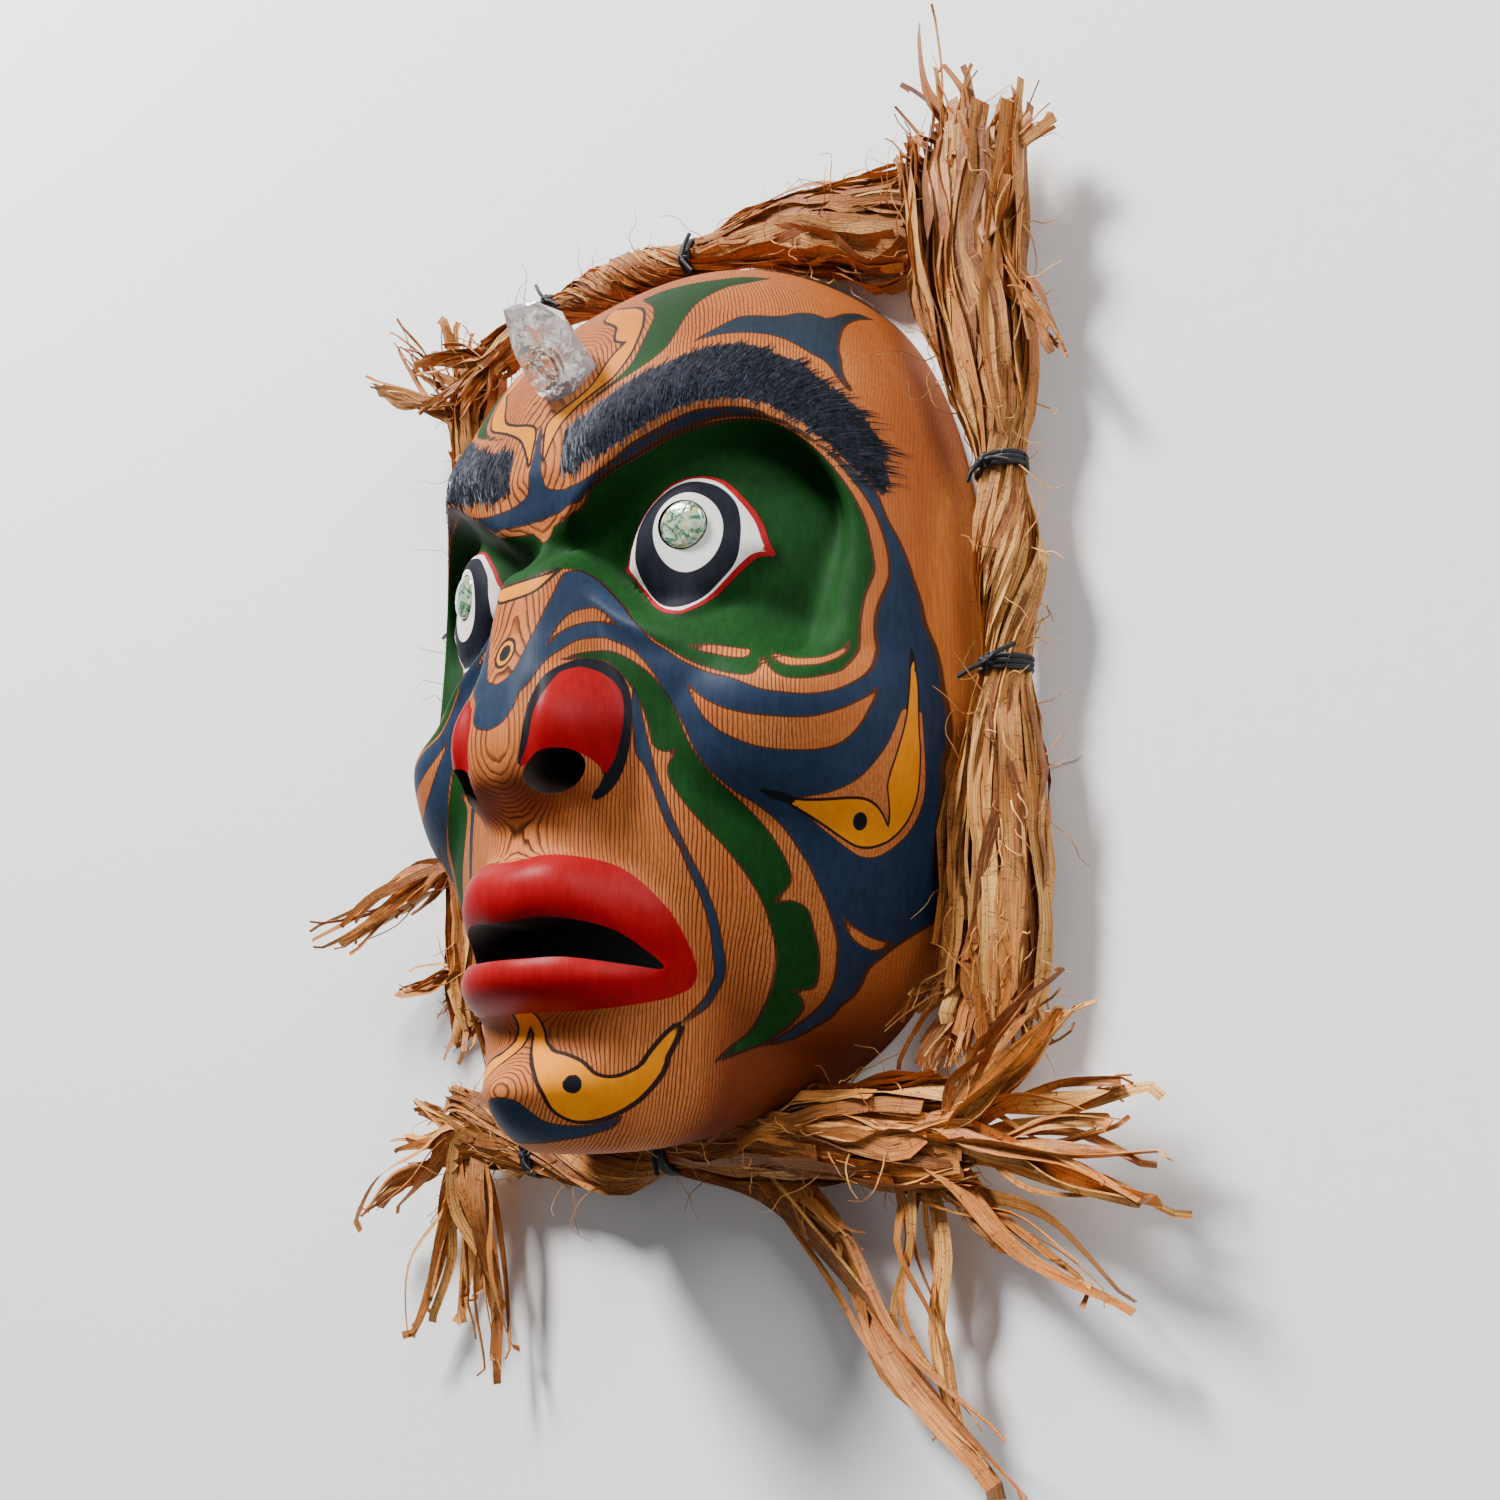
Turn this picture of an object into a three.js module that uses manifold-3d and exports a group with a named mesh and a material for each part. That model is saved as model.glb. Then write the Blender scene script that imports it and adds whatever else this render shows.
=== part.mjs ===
// Carved ceremonial mask lying on its back: hollow cedar face with shell eye inlays, a quartz
// crystal on the forehead and four tied bundles of bark strips round the rim.
// Millimetres. +X to the viewer's right, +Y towards the forehead, +Z out of the face.
import * as THREE from 'three';
import Module from 'manifold-3d';

const wasm = await Module();
wasm.setup();

// Driving dimensions
const HALF_WIDTH = 114;        // rim half width
const TOP_REACH = 155.5;       // rim height above the widest line
const LOW_REACH = 146;         // rim depth below the widest line
const WIDEST_Y = -30;          // height of the widest line
const DOME_RISE = 105;         // rise of the plain dome over its own base
const DOME_SUNK = 20;          // how far that base lies below the rim
const CHIN_THRUST = 17;        // how far the chin reaches down past the rim
const WALL = 10;               // rim width and side wall
const FACE_WALL = 11;          // wall behind the face
const GAP = 0.3;               // clearance between neighbouring pieces
const EYE_X = 52.5;            // shell inlay centre
const SHELL_RADIUS = 7.5;
const WAIST = 6.9;             // bundle radius at a tie
const CORD = 1.8;              // thickness of the cord ring
const FACETS = 46;             // cells across the faceted face
const SMOOTHING = 0.6;         // how far the facets may stray from the carved surface

// Outlines on the face (x, y), closed; those at an eye are for the right side
const SOCKET = outline([[0, 6], [12, 9], [24, 16], [40, 27], [54, 34], [70, 36], [84, 28], [94, 12],
  [100, -10], [100, -34], [92, -50], [80, -54], [64, -46], [46, -37], [32, -28], [20, -18],
  [10, -9], [0, -7]]);
const EYE = outline([[28, -10], [34, 3], [43, 13], [55, 18], [66, 11], [72, 0], [75, -9], [69, -14],
  [63, -23], [52, -30], [41, -25], [33, -16]]);
const LIPS = outline(mirrored([[0, -102], [16, -101], [31, -105], [42, -117], [46, -130],
  [45, -138], [39, -144], [24, -147], [0, -147]]));
const MOUTH = outline(mirrored([[0, -121], [16, -120], [30, -123], [38, -130], [41, -135],
  [34, -134], [22, -132], [10, -132], [0, -132]]));

// Small maths
function clamp01(v) {
  return Math.min(1, Math.max(0, v));
}

function smooth(a, b, v) {
  const t = clamp01((v - a) / (b - a));
  return t * t * (3 - 2 * t);
}

// 1 at the centre, 0 where the squared distance reaches 1
function bump(d2) {
  const t = clamp01(1 - d2);
  return t * t * (3 - 2 * t);
}

// quarter-round shoulder of width w over the distance d from an edge
function roll(d, w) {
  const t = 1 - clamp01(d / w);
  return Math.sqrt(1 - t * t);
}

// smooth curve through a short table of [position, value], positions rising
function profile(v, table) {
  const last = table.length - 1;
  if (v <= table[0][0]) return table[0][1];
  if (v >= table[last][0]) return table[last][1];
  let i = 0;
  while (v > table[i + 1][0]) i += 1;
  const slope = (k) => {
    const a = table[Math.max(0, k - 1)];
    const b = table[Math.min(last, k + 1)];
    return (b[1] - a[1]) / (b[0] - a[0]);
  };
  const [x0, y0] = table[i];
  const [x1, y1] = table[i + 1];
  const w = x1 - x0;
  const t = (v - x0) / w;
  const t2 = t * t;
  const t3 = t2 * t;
  return y0 * (2 * t3 - 3 * t2 + 1) + slope(i) * w * (t3 - 2 * t2 + t)
    + y1 * (3 * t2 - 2 * t3) + slope(i + 1) * w * (t3 - t2);
}

function mirrored(half) {
  const other = half.slice(1, -1).reverse().map(([x, y]) => [-x, y]);
  return [...half, ...other];
}

// closed smooth loop through the points
function outline(points) {
  const steps = 6;
  const n = points.length;
  const loop = [];
  for (let i = 0; i < n; i += 1) {
    const [a, b, c, d] = [-1, 0, 1, 2].map((k) => points[(i + k + n) % n]);
    for (let k = 0; k < steps; k += 1) {
      const t = k / steps;
      loop.push([0, 1].map((j) => 0.5 * (2 * b[j] + (c[j] - a[j]) * t
        + (2 * a[j] - 5 * b[j] + 4 * c[j] - d[j]) * t * t
        + (3 * b[j] - a[j] - 3 * c[j] + d[j]) * t * t * t)));
    }
  }
  return loop;
}

// distance to a closed outline, positive inside
function inset(x, y, loop) {
  let best = Infinity;
  let inside = false;
  for (let i = 0; i < loop.length; i += 1) {
    const [ax, ay] = loop[i];
    const [bx, by] = loop[(i + 1) % loop.length];
    const dx = bx - ax;
    const dy = by - ay;
    const t = clamp01(((x - ax) * dx + (y - ay) * dy) / (dx * dx + dy * dy + 1e-12));
    best = Math.min(best, Math.hypot(x - ax - t * dx, y - ay - t * dy));
    if ((ay > y) !== (by > y) && x < (dx * (y - ay)) / dy + ax) inside = !inside;
  }
  return inside ? best : -best;
}

// The carved face
// what the carving adds to the plain dome, along Z
function relief(x, y) {
  const ax = Math.abs(x);
  let z = 0;
  // forehead and brow ridge
  z += 8 * bump((ax / 82) ** 2 + ((y - 36) / 70) ** 2);
  const browY = profile(ax, [[0, 28], [20, 30], [40, 38], [60, 44], [80, 40], [92, 26], [104, 2]]);
  z += 4 * Math.exp(-(((y - browY) / 12) ** 2)) * smooth(98, 45, ax) * smooth(10, 30, ax);
  // cheekbone
  z += 7 * bump(((ax - 88) / 42) ** 2 + ((y + 68) / 29) ** 2);
  // eye socket, steep under the brow
  const socketEdge = 9 + 14 * smooth(14, -30, y) * smooth(30, 70, ax);
  z -= (6 + 12 * smooth(4, 28, ax)) * smooth(0, 1, inset(ax, y, SOCKET) / socketEdge);
  // eyeball and lid
  z += 8 * bump(((ax - 53) / 38) ** 2 + ((y + 5) / 38) ** 2);
  z += 5 * roll(inset(ax, y, EYE), 12);
  // nose
  const ridge = profile(y, [[-97, 0], [-90, 2], [-85, 8], [-80, 16.5], [-75, 19.5], [-62, 21],
    [-37, 16], [-13, 8], [4, -5], [16, -3], [26, 0]]);
  const half = profile(y, [[-88, 31], [-75, 36], [-62, 37], [-50, 33], [-42, 29], [-30, 26],
    [-13, 20], [10, 18]]);
  z += ridge * bump((ax / half) ** (2 + smooth(-38, -60, y)));
  // nostril wings and the crease beside the bridge
  z -= 2 * Math.exp(-(((ax - 14) / 3) ** 2)) * smooth(-44, -54, y) * smooth(-84, -76, y);
  z += 1.5 * bump(((ax - 24) / 13) ** 2 + ((y + 63) / 20) ** 2);
  // keel of the muzzle, lips and chin
  z += 9 * Math.exp(-((ax / 26) ** 2)) * bump(((y + 119) / 43) ** 2);
  z += 8 * roll(Math.min(inset(x, y, LIPS), 3 - inset(x, y, MOUTH)), 11);
  z += 24 * Math.exp(-((ax / 25) ** 2)) * smooth(-150, -172, y);
  return z;
}

// point of the face for s, t in -1..1; shrink moves the surface inwards for the hollow
function facePoint(s, t, shrink) {
  const dx = s * Math.sqrt(1 - t * t / 2);
  const dy = t * Math.sqrt(1 - s * s / 2);
  const radius = Math.min(1, Math.hypot(dx, dy));
  const angle = Math.atan2(dy, dx);
  const c = Math.cos(angle);
  const sn = Math.sin(angle);
  const n = sn > 0 ? 2.4 : 2.6;
  const k = (Math.abs(c) ** n + Math.abs(sn) ** n) ** (-1 / n);
  const below = Math.atan2(sn, Math.abs(c)) * 180 / Math.PI + 45;
  const fullness = 2.6 - 0.4 * bump((below / 32) ** 2) + 2.4 * smooth(0.85, 1, -sn)
    + 0.5 * smooth(0.3, 0.9, sn);
  const foot = DOME_SUNK / DOME_RISE;
  const lean = radius * Math.atan2((1 - foot ** fullness) ** (1 / fullness), foot);
  const sa = Math.sin(lean);
  const ca = Math.cos(lean);
  const q = (sa ** fullness + ca ** fullness) ** (-1 / fullness);
  const rho = q * sa;
  const h = q * ca;
  const reach = (sn > 0 ? TOP_REACH : LOW_REACH) - shrink;
  const x = (HALF_WIDTH - shrink) * k * c * rho;
  let y = WIDEST_Y + reach * k * sn * rho;
  y -= CHIN_THRUST * smooth(0.55, 1, -sn) * smooth(foot, 0.75, h) * smooth(0, 0.5, rho);
  const z = DOME_RISE * h - DOME_SUNK;
  const fade = smooth(0, 0.35, z / DOME_RISE);
  if (shrink <= 0) return [x, y, z + relief(x, y) * fade - shrink];
  const carved = Math.min(4, relief(x, y));
  return [x, y, Math.max(0, z * (1 - FACE_WALL / (DOME_RISE - DOME_SUNK)) + carved * fade)];
}

function manifoldOf(positions, triangles) {
  const mesh = new wasm.Mesh({
    numProp: 3,
    vertProperties: new Float32Array(positions.flat()),
    triVerts: new Uint32Array(triangles.flat()),
  });
  return new wasm.Manifold(mesh);
}

// one grid over the face; each cell is split along the diagonal that lies nearer the surface
function faceGrid(n, shrink, points, faces, outwards) {
  const first = points.length;
  const at = (i, j) => first + j * (n + 1) + i;
  for (let j = 0; j <= n; j += 1) {
    for (let i = 0; i <= n; i += 1) {
      const p = facePoint(2 * i / n - 1, 2 * j / n - 1, shrink);
      if (i === 0 || j === 0 || i === n || j === n) p[2] = 0;
      points.push(p);
    }
  }
  for (let j = 0; j < n; j += 1) {
    for (let i = 0; i < n; i += 1) {
      const cell = [at(i, j), at(i + 1, j), at(i + 1, j + 1), at(i, j + 1)];
      const [za, zb, zc, zd] = cell.map((k) => points[k][2]);
      const middle = facePoint((2 * i + 1) / n - 1, (2 * j + 1) / n - 1, shrink)[2];
      const turn = Math.abs((za + zc) / 2 - middle) > Math.abs((zb + zd) / 2 - middle) ? 1 : 0;
      const [a, b, c, d] = [0, 1, 2, 3].map((k) => cell[(k + turn) % 4]);
      if (outwards) faces.push([a, b, c], [a, c, d]);
      else faces.push([a, c, b], [a, d, c]);
    }
  }
  const rim = [];
  for (let i = 0; i < n; i += 1) rim.push(at(i, 0));
  for (let j = 0; j < n; j += 1) rim.push(at(n, j));
  for (let i = n; i > 0; i -= 1) rim.push(at(i, n));
  for (let j = n; j > 0; j -= 1) rim.push(at(0, j));
  return rim;
}

// the hollow mask blank: carved outside, plain hollow inside, flat rim between them
function carvedShell() {
  const points = [];
  const faces = [];
  const outer = faceGrid(FACETS, 0, points, faces, true);
  const inner = faceGrid(FACETS / 2, WALL, points, faces, false);
  inner.forEach((q, k) => {
    const next = inner[(k + 1) % inner.length];
    const [a, b, c] = [0, 1, 2].map((j) => outer[(2 * k + j) % outer.length]);
    faces.push([a, q, b], [b, q, next], [b, next, c]);
  });
  return manifoldOf(points, faces);
}

// solid block a little larger than the mask, to keep the bundles clear of it
function maskRoom() {
  const points = [];
  const faces = [];
  const rim = faceGrid(28, -2 * GAP, points, faces, true);
  const low = points.length;
  rim.forEach((k) => points.push([points[k][0], points[k][1], -5]));
  points.push([0, WIDEST_Y, -5]);
  rim.forEach((a, k) => {
    const m = (k + 1) % rim.length;
    faces.push([a, low + k, low + m], [a, low + m, rim[m]], [low + k, low + rim.length, low + m]);
  });
  return manifoldOf(points, faces);
}

// Solids from three.js geometry
function solidOf(geometry) {
  const flat = geometry.index ? geometry.toNonIndexed() : geometry;
  const seen = new Map();
  const points = [];
  const corner = [];
  const pos = flat.attributes.position;
  for (let i = 0; i < pos.count; i += 1) {
    const p = [pos.getX(i), pos.getY(i), pos.getZ(i)];
    const key = p.map((v) => v.toFixed(4)).join(',');
    if (!seen.has(key)) {
      seen.set(key, points.length);
      points.push(p);
    }
    corner.push(seen.get(key));
  }
  const faces = [];
  for (let i = 0; i < corner.length; i += 3) {
    const [a, b, c] = corner.slice(i, i + 3);
    if (a !== b && b !== c && c !== a) faces.push([a, b, c]);
  }
  return manifoldOf(points, faces);
}

function meshOf(name, solid, look) {
  const data = solid.getMesh();
  const geometry = new THREE.BufferGeometry();
  geometry.setAttribute('position', new THREE.BufferAttribute(new Float32Array(data.vertProperties), 3));
  geometry.setIndex(new THREE.BufferAttribute(new Uint32Array(data.triVerts), 1));
  geometry.computeVertexNormals();
  const mesh = new THREE.Mesh(geometry, new THREE.MeshStandardMaterial(look));
  mesh.name = name;
  return mesh;
}

// the biggest of the pieces a cut leaves
function largest(solid) {
  return solid.decompose().sort((a, b) => b.volume() - a.volume())[0];
}

// placed along a direction: the geometry's own Z is turned to that direction
function placed(geometry, position, direction) {
  const turn = new THREE.Quaternion();
  turn.setFromUnitVectors(new THREE.Vector3(0, 0, 1), new THREE.Vector3(...direction).normalize());
  geometry.applyQuaternion(turn);
  geometry.translate(...position);
  return geometry;
}

function rod(radiusFrom, radiusTo, length, sides) {
  const geometry = new THREE.CylinderGeometry(radiusTo, radiusFrom, length, sides);
  geometry.rotateX(Math.PI / 2);
  return geometry;
}

// Mask with its openings
function faceHeight(x, y) {
  let best = Infinity;
  let z = 0;
  for (let j = 0; j <= 80; j += 1) {
    for (let i = 0; i <= 80; i += 1) {
      const p = facePoint(2 * i / 80 - 1, 2 * j / 80 - 1, 0);
      const d = Math.hypot(p[0] - x, p[1] - y);
      if (d < best) {
        best = d;
        z = p[2];
      }
    }
  }
  return z;
}

const eyeZ = faceHeight(EYE_X, 0);
const eyeFacing = [0.28, -0.06, 1];
const crystalFoot = [7, 61, faceHeight(7, 61)];
const crystalLean = [0.22, 0.42, 0.88];

const mouthShape = new THREE.Shape(MOUTH.map(([x, y]) => new THREE.Vector2(x, y)));
const mouthCut = new THREE.ExtrudeGeometry(mouthShape, { depth: 200, bevelEnabled: false });
mouthCut.translate(0, 0, -20);

let mask = carvedShell().simplify(SMOOTHING).subtract(solidOf(mouthCut));
for (const side of [1, -1]) {
  const nostril = rod(7.5, 5, 70, 14);
  nostril.scale(1.15, 1, 1);
  mask = mask.subtract(solidOf(placed(nostril, [20 * side, -64, 75], [0, 0.5, -0.87])));
  const recess = rod(SHELL_RADIUS + GAP * 1.5, SHELL_RADIUS + GAP * 1.5, 12, 16);
  const middle = [EYE_X * side, 0, eyeZ + 4.5];
  mask = mask.subtract(solidOf(placed(recess, middle, [eyeFacing[0] * side, eyeFacing[1], 1])));
}
mask = mask.subtract(crystalSolid(GAP));

// Eye inlays and crystal
function shellDisc(side) {
  const thick = 2.6;
  const profilePoints = [[0, 0], [SHELL_RADIUS, 0], [SHELL_RADIUS, 1.4], [SHELL_RADIUS * 0.6, 2.3],
    [0, thick]].map(([r, h]) => new THREE.Vector2(r, h));
  const disc = new THREE.LatheGeometry(profilePoints, 16);
  disc.rotateX(Math.PI / 2);
  const direction = new THREE.Vector3(eyeFacing[0] * side, eyeFacing[1], 1).normalize();
  const foot = new THREE.Vector3(EYE_X * side, 0, eyeZ + 4.5).addScaledVector(direction, -6 + GAP);
  return solidOf(placed(disc, foot.toArray(), direction.toArray()));
}

// six-sided prism that swells a little and closes to a short ridge; grow makes its seat
function crystalSolid(grow) {
  const rings = [[-grow, 9.5, 8], [8, 13.5, 10.5], [23, 12.5, 10], [35, 7, 1.6]];
  const points = [[0, 0, -grow]];
  for (const [h, wide, deep] of rings) {
    for (let k = 0; k < 6; k += 1) {
      const a = (k / 6) * Math.PI * 2;
      const slope = h > 10 && h < 30 ? 2.5 * Math.cos(a) : 0;
      const more = grow * 1.3;
      points.push([(wide + more) * Math.cos(a), (deep + more) * Math.sin(a), h + slope]);
    }
  }
  points.push([0, 0, 35.8 + grow]);
  const faces = [];
  for (let k = 0; k < 6; k += 1) {
    const m = (k + 1) % 6;
    faces.push([0, 1 + m, 1 + k]);
    for (let j = 0; j < 3; j += 1) {
      const base = 1 + 6 * j;
      faces.push([base + k, base + m, base + 6 + m], [base + k, base + 6 + m, base + 6 + k]);
    }
    faces.push([19 + k, 19 + m, 25]);
  }
  const geometry = new THREE.BufferGeometry();
  geometry.setAttribute('position', new THREE.Float32BufferAttribute(points.flat(), 3));
  geometry.setIndex(faces.flat());
  const direction = new THREE.Vector3(...crystalLean).normalize();
  const foot = new THREE.Vector3(...crystalFoot).addScaledVector(direction, -5);
  return solidOf(placed(geometry, foot.toArray(), crystalLean));
}

// Bark bundles
function curveOf(points) {
  return new THREE.CatmullRomCurve3(points.map((p) => new THREE.Vector3(...p)), false, 'centripetal');
}

// closed tube along a path; section(u, a) gives the radius across and the radius along Z
function tube(curve, rings, sides, section) {
  const points = [];
  const faces = [];
  for (let i = 0; i <= rings; i += 1) {
    const u = i / rings;
    const centre = curve.getPointAt(u);
    const along = curve.getTangentAt(u);
    const across = new THREE.Vector3(0, 0, 1).cross(along).normalize();
    const up = along.clone().cross(across).normalize();
    for (let k = 0; k < sides; k += 1) {
      const a = (k / sides) * Math.PI * 2;
      const [wide, high] = section(u, a);
      const p = centre.clone().addScaledVector(across, wide * Math.cos(a));
      p.addScaledVector(up, high * Math.sin(a));
      points.push(p.toArray());
    }
  }
  for (let i = 0; i < rings; i += 1) {
    for (let k = 0; k < sides; k += 1) {
      const m = (k + 1) % sides;
      const [a, b] = [i * sides + k, i * sides + m];
      faces.push([a, b, b + sides], [a, b + sides, a + sides]);
    }
  }
  const last = rings * sides;
  for (let k = 1; k < sides - 1; k += 1) {
    faces.push([0, k + 1, k], [last, last + k, last + k + 1]);
  }
  return manifoldOf(points, faces);
}

// flat strip of bark, blunt at its free end; it turns over a little on its way
function strip(points, width, turns) {
  return tube(curveOf(points), 2, 4, (u) => {
    const turn = Math.abs(Math.sin(turns * (0.4 + u)));
    return [width * (0.62 - 0.3 * turn), 1.3 + width * 0.3 * turn];
  });
}

// how far along a curve a point lies, 0 to 1
function nearestOn(curve, [x, y, z]) {
  let best = Infinity;
  let where = 0;
  for (let i = 0; i <= 400; i += 1) {
    const d = curve.getPointAt(i / 400).distanceTo(new THREE.Vector3(x, y, z));
    if (d < best) {
      best = d;
      where = i / 400;
    }
  }
  return where;
}

// one bundle: a lumpy core with a waist at each tie, flat at both ends, and loose strip ends.
// stations are [x, y, z, half width, half height]; ties are the numbers of the tied ones
function bundle({ stations, ties, fans }) {
  const curve = curveOf(stations.map((q) => q.slice(0, 3)));
  const at = stations.map((q) => nearestOn(curve, q));
  const wide = stations.map((q, k) => [at[k], q[3]]);
  const high = stations.map((q, k) => [at[k], q[4]]);
  let body = tube(curve, 13, 7, (u, a) => {
    const waist = Math.min(...ties.map((k) => Math.abs(u - at[k])));
    const lobes = 1 + 0.1 * smooth(0.02, 0.12, waist) * Math.cos(3 * a + 16 * u);
    return [profile(u, wide) * lobes, profile(u, high) * lobes];
  });
  for (const { root, spread, width, tips } of fans) {
    tips.forEach((tip, k) => {
      const shift = 2 * k / (tips.length - 1) - 1;
      const from = root.map((v, j) => v + spread[j] * shift * 0.6);
      const middle = from.map((v, j) => 0.5 * (v + tip[j]) + spread[j] * shift * 0.3);
      body = body.add(strip([from, middle, tip], width * (1 + 0.25 * Math.sin(7 * k)), 1 + k));
    });
  }
  return { body, curve, tieAt: ties.map((k) => at[k]) };
}

// flat ring of cord pulled tight round the waist; grow makes the groove it lies in
function tieRing(curve, u, grow) {
  const points = [];
  const faces = [];
  const sides = 10;
  const centre = curve.getPointAt(u);
  const along = curve.getTangentAt(u);
  const across = new THREE.Vector3(0, 0, 1).cross(along).normalize();
  const up = along.clone().cross(across).normalize();
  const inner = WAIST + GAP * 2 - grow;
  const outer = inner + CORD + 2 * grow;
  const half = 2.4 + grow;
  const rim = [[inner, -half], [inner, half], [outer, half - 0.8], [outer, 0.8 - half]];
  for (let k = 0; k < sides; k += 1) {
    const a = ((k + 0.5) / sides) * Math.PI * 2;
    for (const [r, h] of rim) {
      const p = centre.clone().addScaledVector(across, r * Math.cos(a));
      p.addScaledVector(up, r * Math.sin(a)).addScaledVector(along, h);
      points.push(p.toArray());
    }
  }
  for (let k = 0; k < sides; k += 1) {
    const m = (k + 1) % sides;
    for (let j = 0; j < 4; j += 1) {
      const i = (j + 1) % 4;
      faces.push([4 * k + j, 4 * m + i, 4 * m + j], [4 * k + j, 4 * k + i, 4 * m + i]);
    }
  }
  return manifoldOf(points, faces);
}

const bundleShapes = {
  top: {
    stations: [[103, 120, 8, 22, 3], [88, 123, 10, 23, 5], [68, 130, 12, 18, 8],
      [46, 137, 13, 14, 9], [23, 141, 13, 9.5, 8.5], [0, 143, 13, WAIST, WAIST],
      [-27, 149, 13, 9.5, 8], [-52, 150, 14, 9.5, 8], [-74, 146, 17, WAIST, WAIST],
      [-92, 136, 24, 10, 6], [-104, 126, 31, 11, 3]],
    ties: [5, 8],
    fans: [
      { root: [90, 124, 9], spread: [0, -12, 0], width: 8,
        tips: [[107, 144, 7], [110, 131, 6], [109, 118, 7], [105, 104, 6]] },
      { root: [-98, 131, 27], spread: [0, 8, 2], width: 6,
        tips: [[-108, 106, 36], [-124, 112, 42], [-128, 128, 44], [-118, 139, 40]] },
    ],
  },
  right: {
    stations: [[125, 142, 23, 24, 4], [124, 114, 22, 23, 8], [123, 84, 20, 20, 9],
      [127, 52, 18, 15, 9], [129, 34, 17, 11, 9], [129, 18, 15, WAIST, WAIST],
      [131, -16, 17, 10.5, 9], [127.5, -46, 15, WAIST, WAIST], [125, -68, 15, 13, 9],
      [123, -92, 15, 16, 9], [120, -118, 14, 17, 8], [116, -138, 13, 18, 6],
      [112, -150, 12, 15, 3]],
    ties: [5, 7],
    fans: [
      { root: [121, 116, 22], spread: [16, 0, 2], width: 8,
        tips: [[98, 140, 20], [103, 152, 24], [109, 181, 24], [116, 148, 21], [125, 156, 24],
          [134, 133, 22], [147, 139, 24], [157, 125, 22]] },
      { root: [134, 88, 22], spread: [4, 0, 1], width: 5, tips: [[146, 110, 27], [156, 46, 24]] },
      { root: [118, -124, 13], spread: [-14, 0, 0], width: 8,
        tips: [[134, -155, 12], [124, -158, 9], [113, -160, 15], [102, -160, 10], [94, -162, 14],
          [86, -150, 11]] },
    ],
  },
  bottom: {
    stations: [[-116, -181, 19, 17, 3], [-104, -181, 19, 14, 5], [-88, -185, 17, 10, 7],
      [-71, -189, 14, WAIST, WAIST], [-40, -192, 13, 9.5, 8.5], [-6, -187, 14, WAIST, WAIST],
      [16, -184, 15, 11.5, 9], [42, -182, 16, 14.5, 10], [70, -182, 17, 16.5, 9],
      [95, -182, 19, 18, 6], [114, -181, 21, 20, 3]],
    ties: [3, 5],
    fans: [
      { root: [98, -183, 19], spread: [0, 13, 2], width: 7,
        tips: [[118, -212, 15], [168, -200, 26], [170, -185, 24], [169, -168, 26], [156, -147, 32],
          [146, -141, 28]] },
      { root: [30, -190, 14], spread: [6, 0, 0], width: 5, tips: [[62, -214, 13], [122, -275, 16]] },
      { root: [84, -188, 15], spread: [8, 0, 0], width: 5, tips: [[101, -261, 14], [154, -224, 20]] },
      { root: [-102, -181, 19], spread: [0, 11, 2], width: 6,
        tips: [[-88, -265, 14], [-112, -246, 12], [-136, -254, 14], [-124, -215, 16],
          [-162, -211, 20], [-146, -188, 20], [-131, -172, 22]] },
    ],
  },
  left: {
    stations: [[-116, 142, 22, 15, 4], [-118, 112, 20, 16, 8], [-119, 84, 17, 13, 8],
      [-121, 48, 14, 10.5, 8], [-123, 18, 12, WAIST, WAIST], [-125, -16, 12, 9.5, 8],
      [-123, -46, 12, WAIST, WAIST], [-119, -76, 12, 11, 8], [-115, -104, 12, 13, 8],
      [-112, -130, 12, 14, 6], [-108, -144, 12, 13, 3]],
    ties: [4, 6],
    fans: [
      { root: [-122, 112, 23], spread: [-12, 0, 3], width: 7,
        tips: [[-106, 140, 22], [-119, 148, 25], [-130, 158, 30], [-158, 160, 35], [-150, 142, 30],
          [-173, 141, 35]] },
      { root: [-118, -76, 15], spread: [0, -5, 1], width: 4,
        tips: [[-185, -103, 36], [-165, -109, 35], [-145, -98, 28]] },
      { root: [-114, -118, 13], spread: [10, 0, 0], width: 7,
        tips: [[-146, -126, 22], [-130, -133, 15], [-117, -150, 16], [-104, -156, 12],
          [-93, -150, 10]] },
    ],
  },
};

// Assembly
const CEDAR = { color: 0xb06a3c, roughness: 0.55, metalness: 0 };
const SHELL = { color: 0xa9c8ae, roughness: 0.2, metalness: 0.1 };
const QUARTZ = { color: 0xe8e4e0, roughness: 0.05, metalness: 0 };
const BARK = { color: 0xc08a50, roughness: 0.85, metalness: 0 };
const WAXED_CORD = { color: 0x111111, roughness: 0.7, metalness: 0 };

const group = new THREE.Group();
group.name = 'speaker_mask';
group.add(meshOf('carved_mask', mask, CEDAR));
group.add(meshOf('shell_inlay_right', shellDisc(1), SHELL));
group.add(meshOf('shell_inlay_left', shellDisc(-1), SHELL));
group.add(meshOf('quartz_crystal', crystalSolid(0), QUARTZ));
const room = maskRoom();
let taken = room;
for (const [where, shape] of Object.entries(bundleShapes)) {
  const { body, curve, tieAt } = bundle(shape);
  let fitted = body.trimByPlane([0, 0, 1], 0.5).simplify(0.4).subtract(taken);
  for (const u of tieAt) fitted = fitted.subtract(tieRing(curve, u, GAP));
  group.add(meshOf(`bark_bundle_${where}`, largest(fitted.simplify(0.25)), BARK));
  tieAt.forEach((u, k) => {
    const ring = tieRing(curve, u, 0).subtract(room);
    group.add(meshOf(`cord_tie_${where}_${k + 1}`, largest(ring), WAXED_CORD));
  });
  taken = taken.add(body);
}

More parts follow.
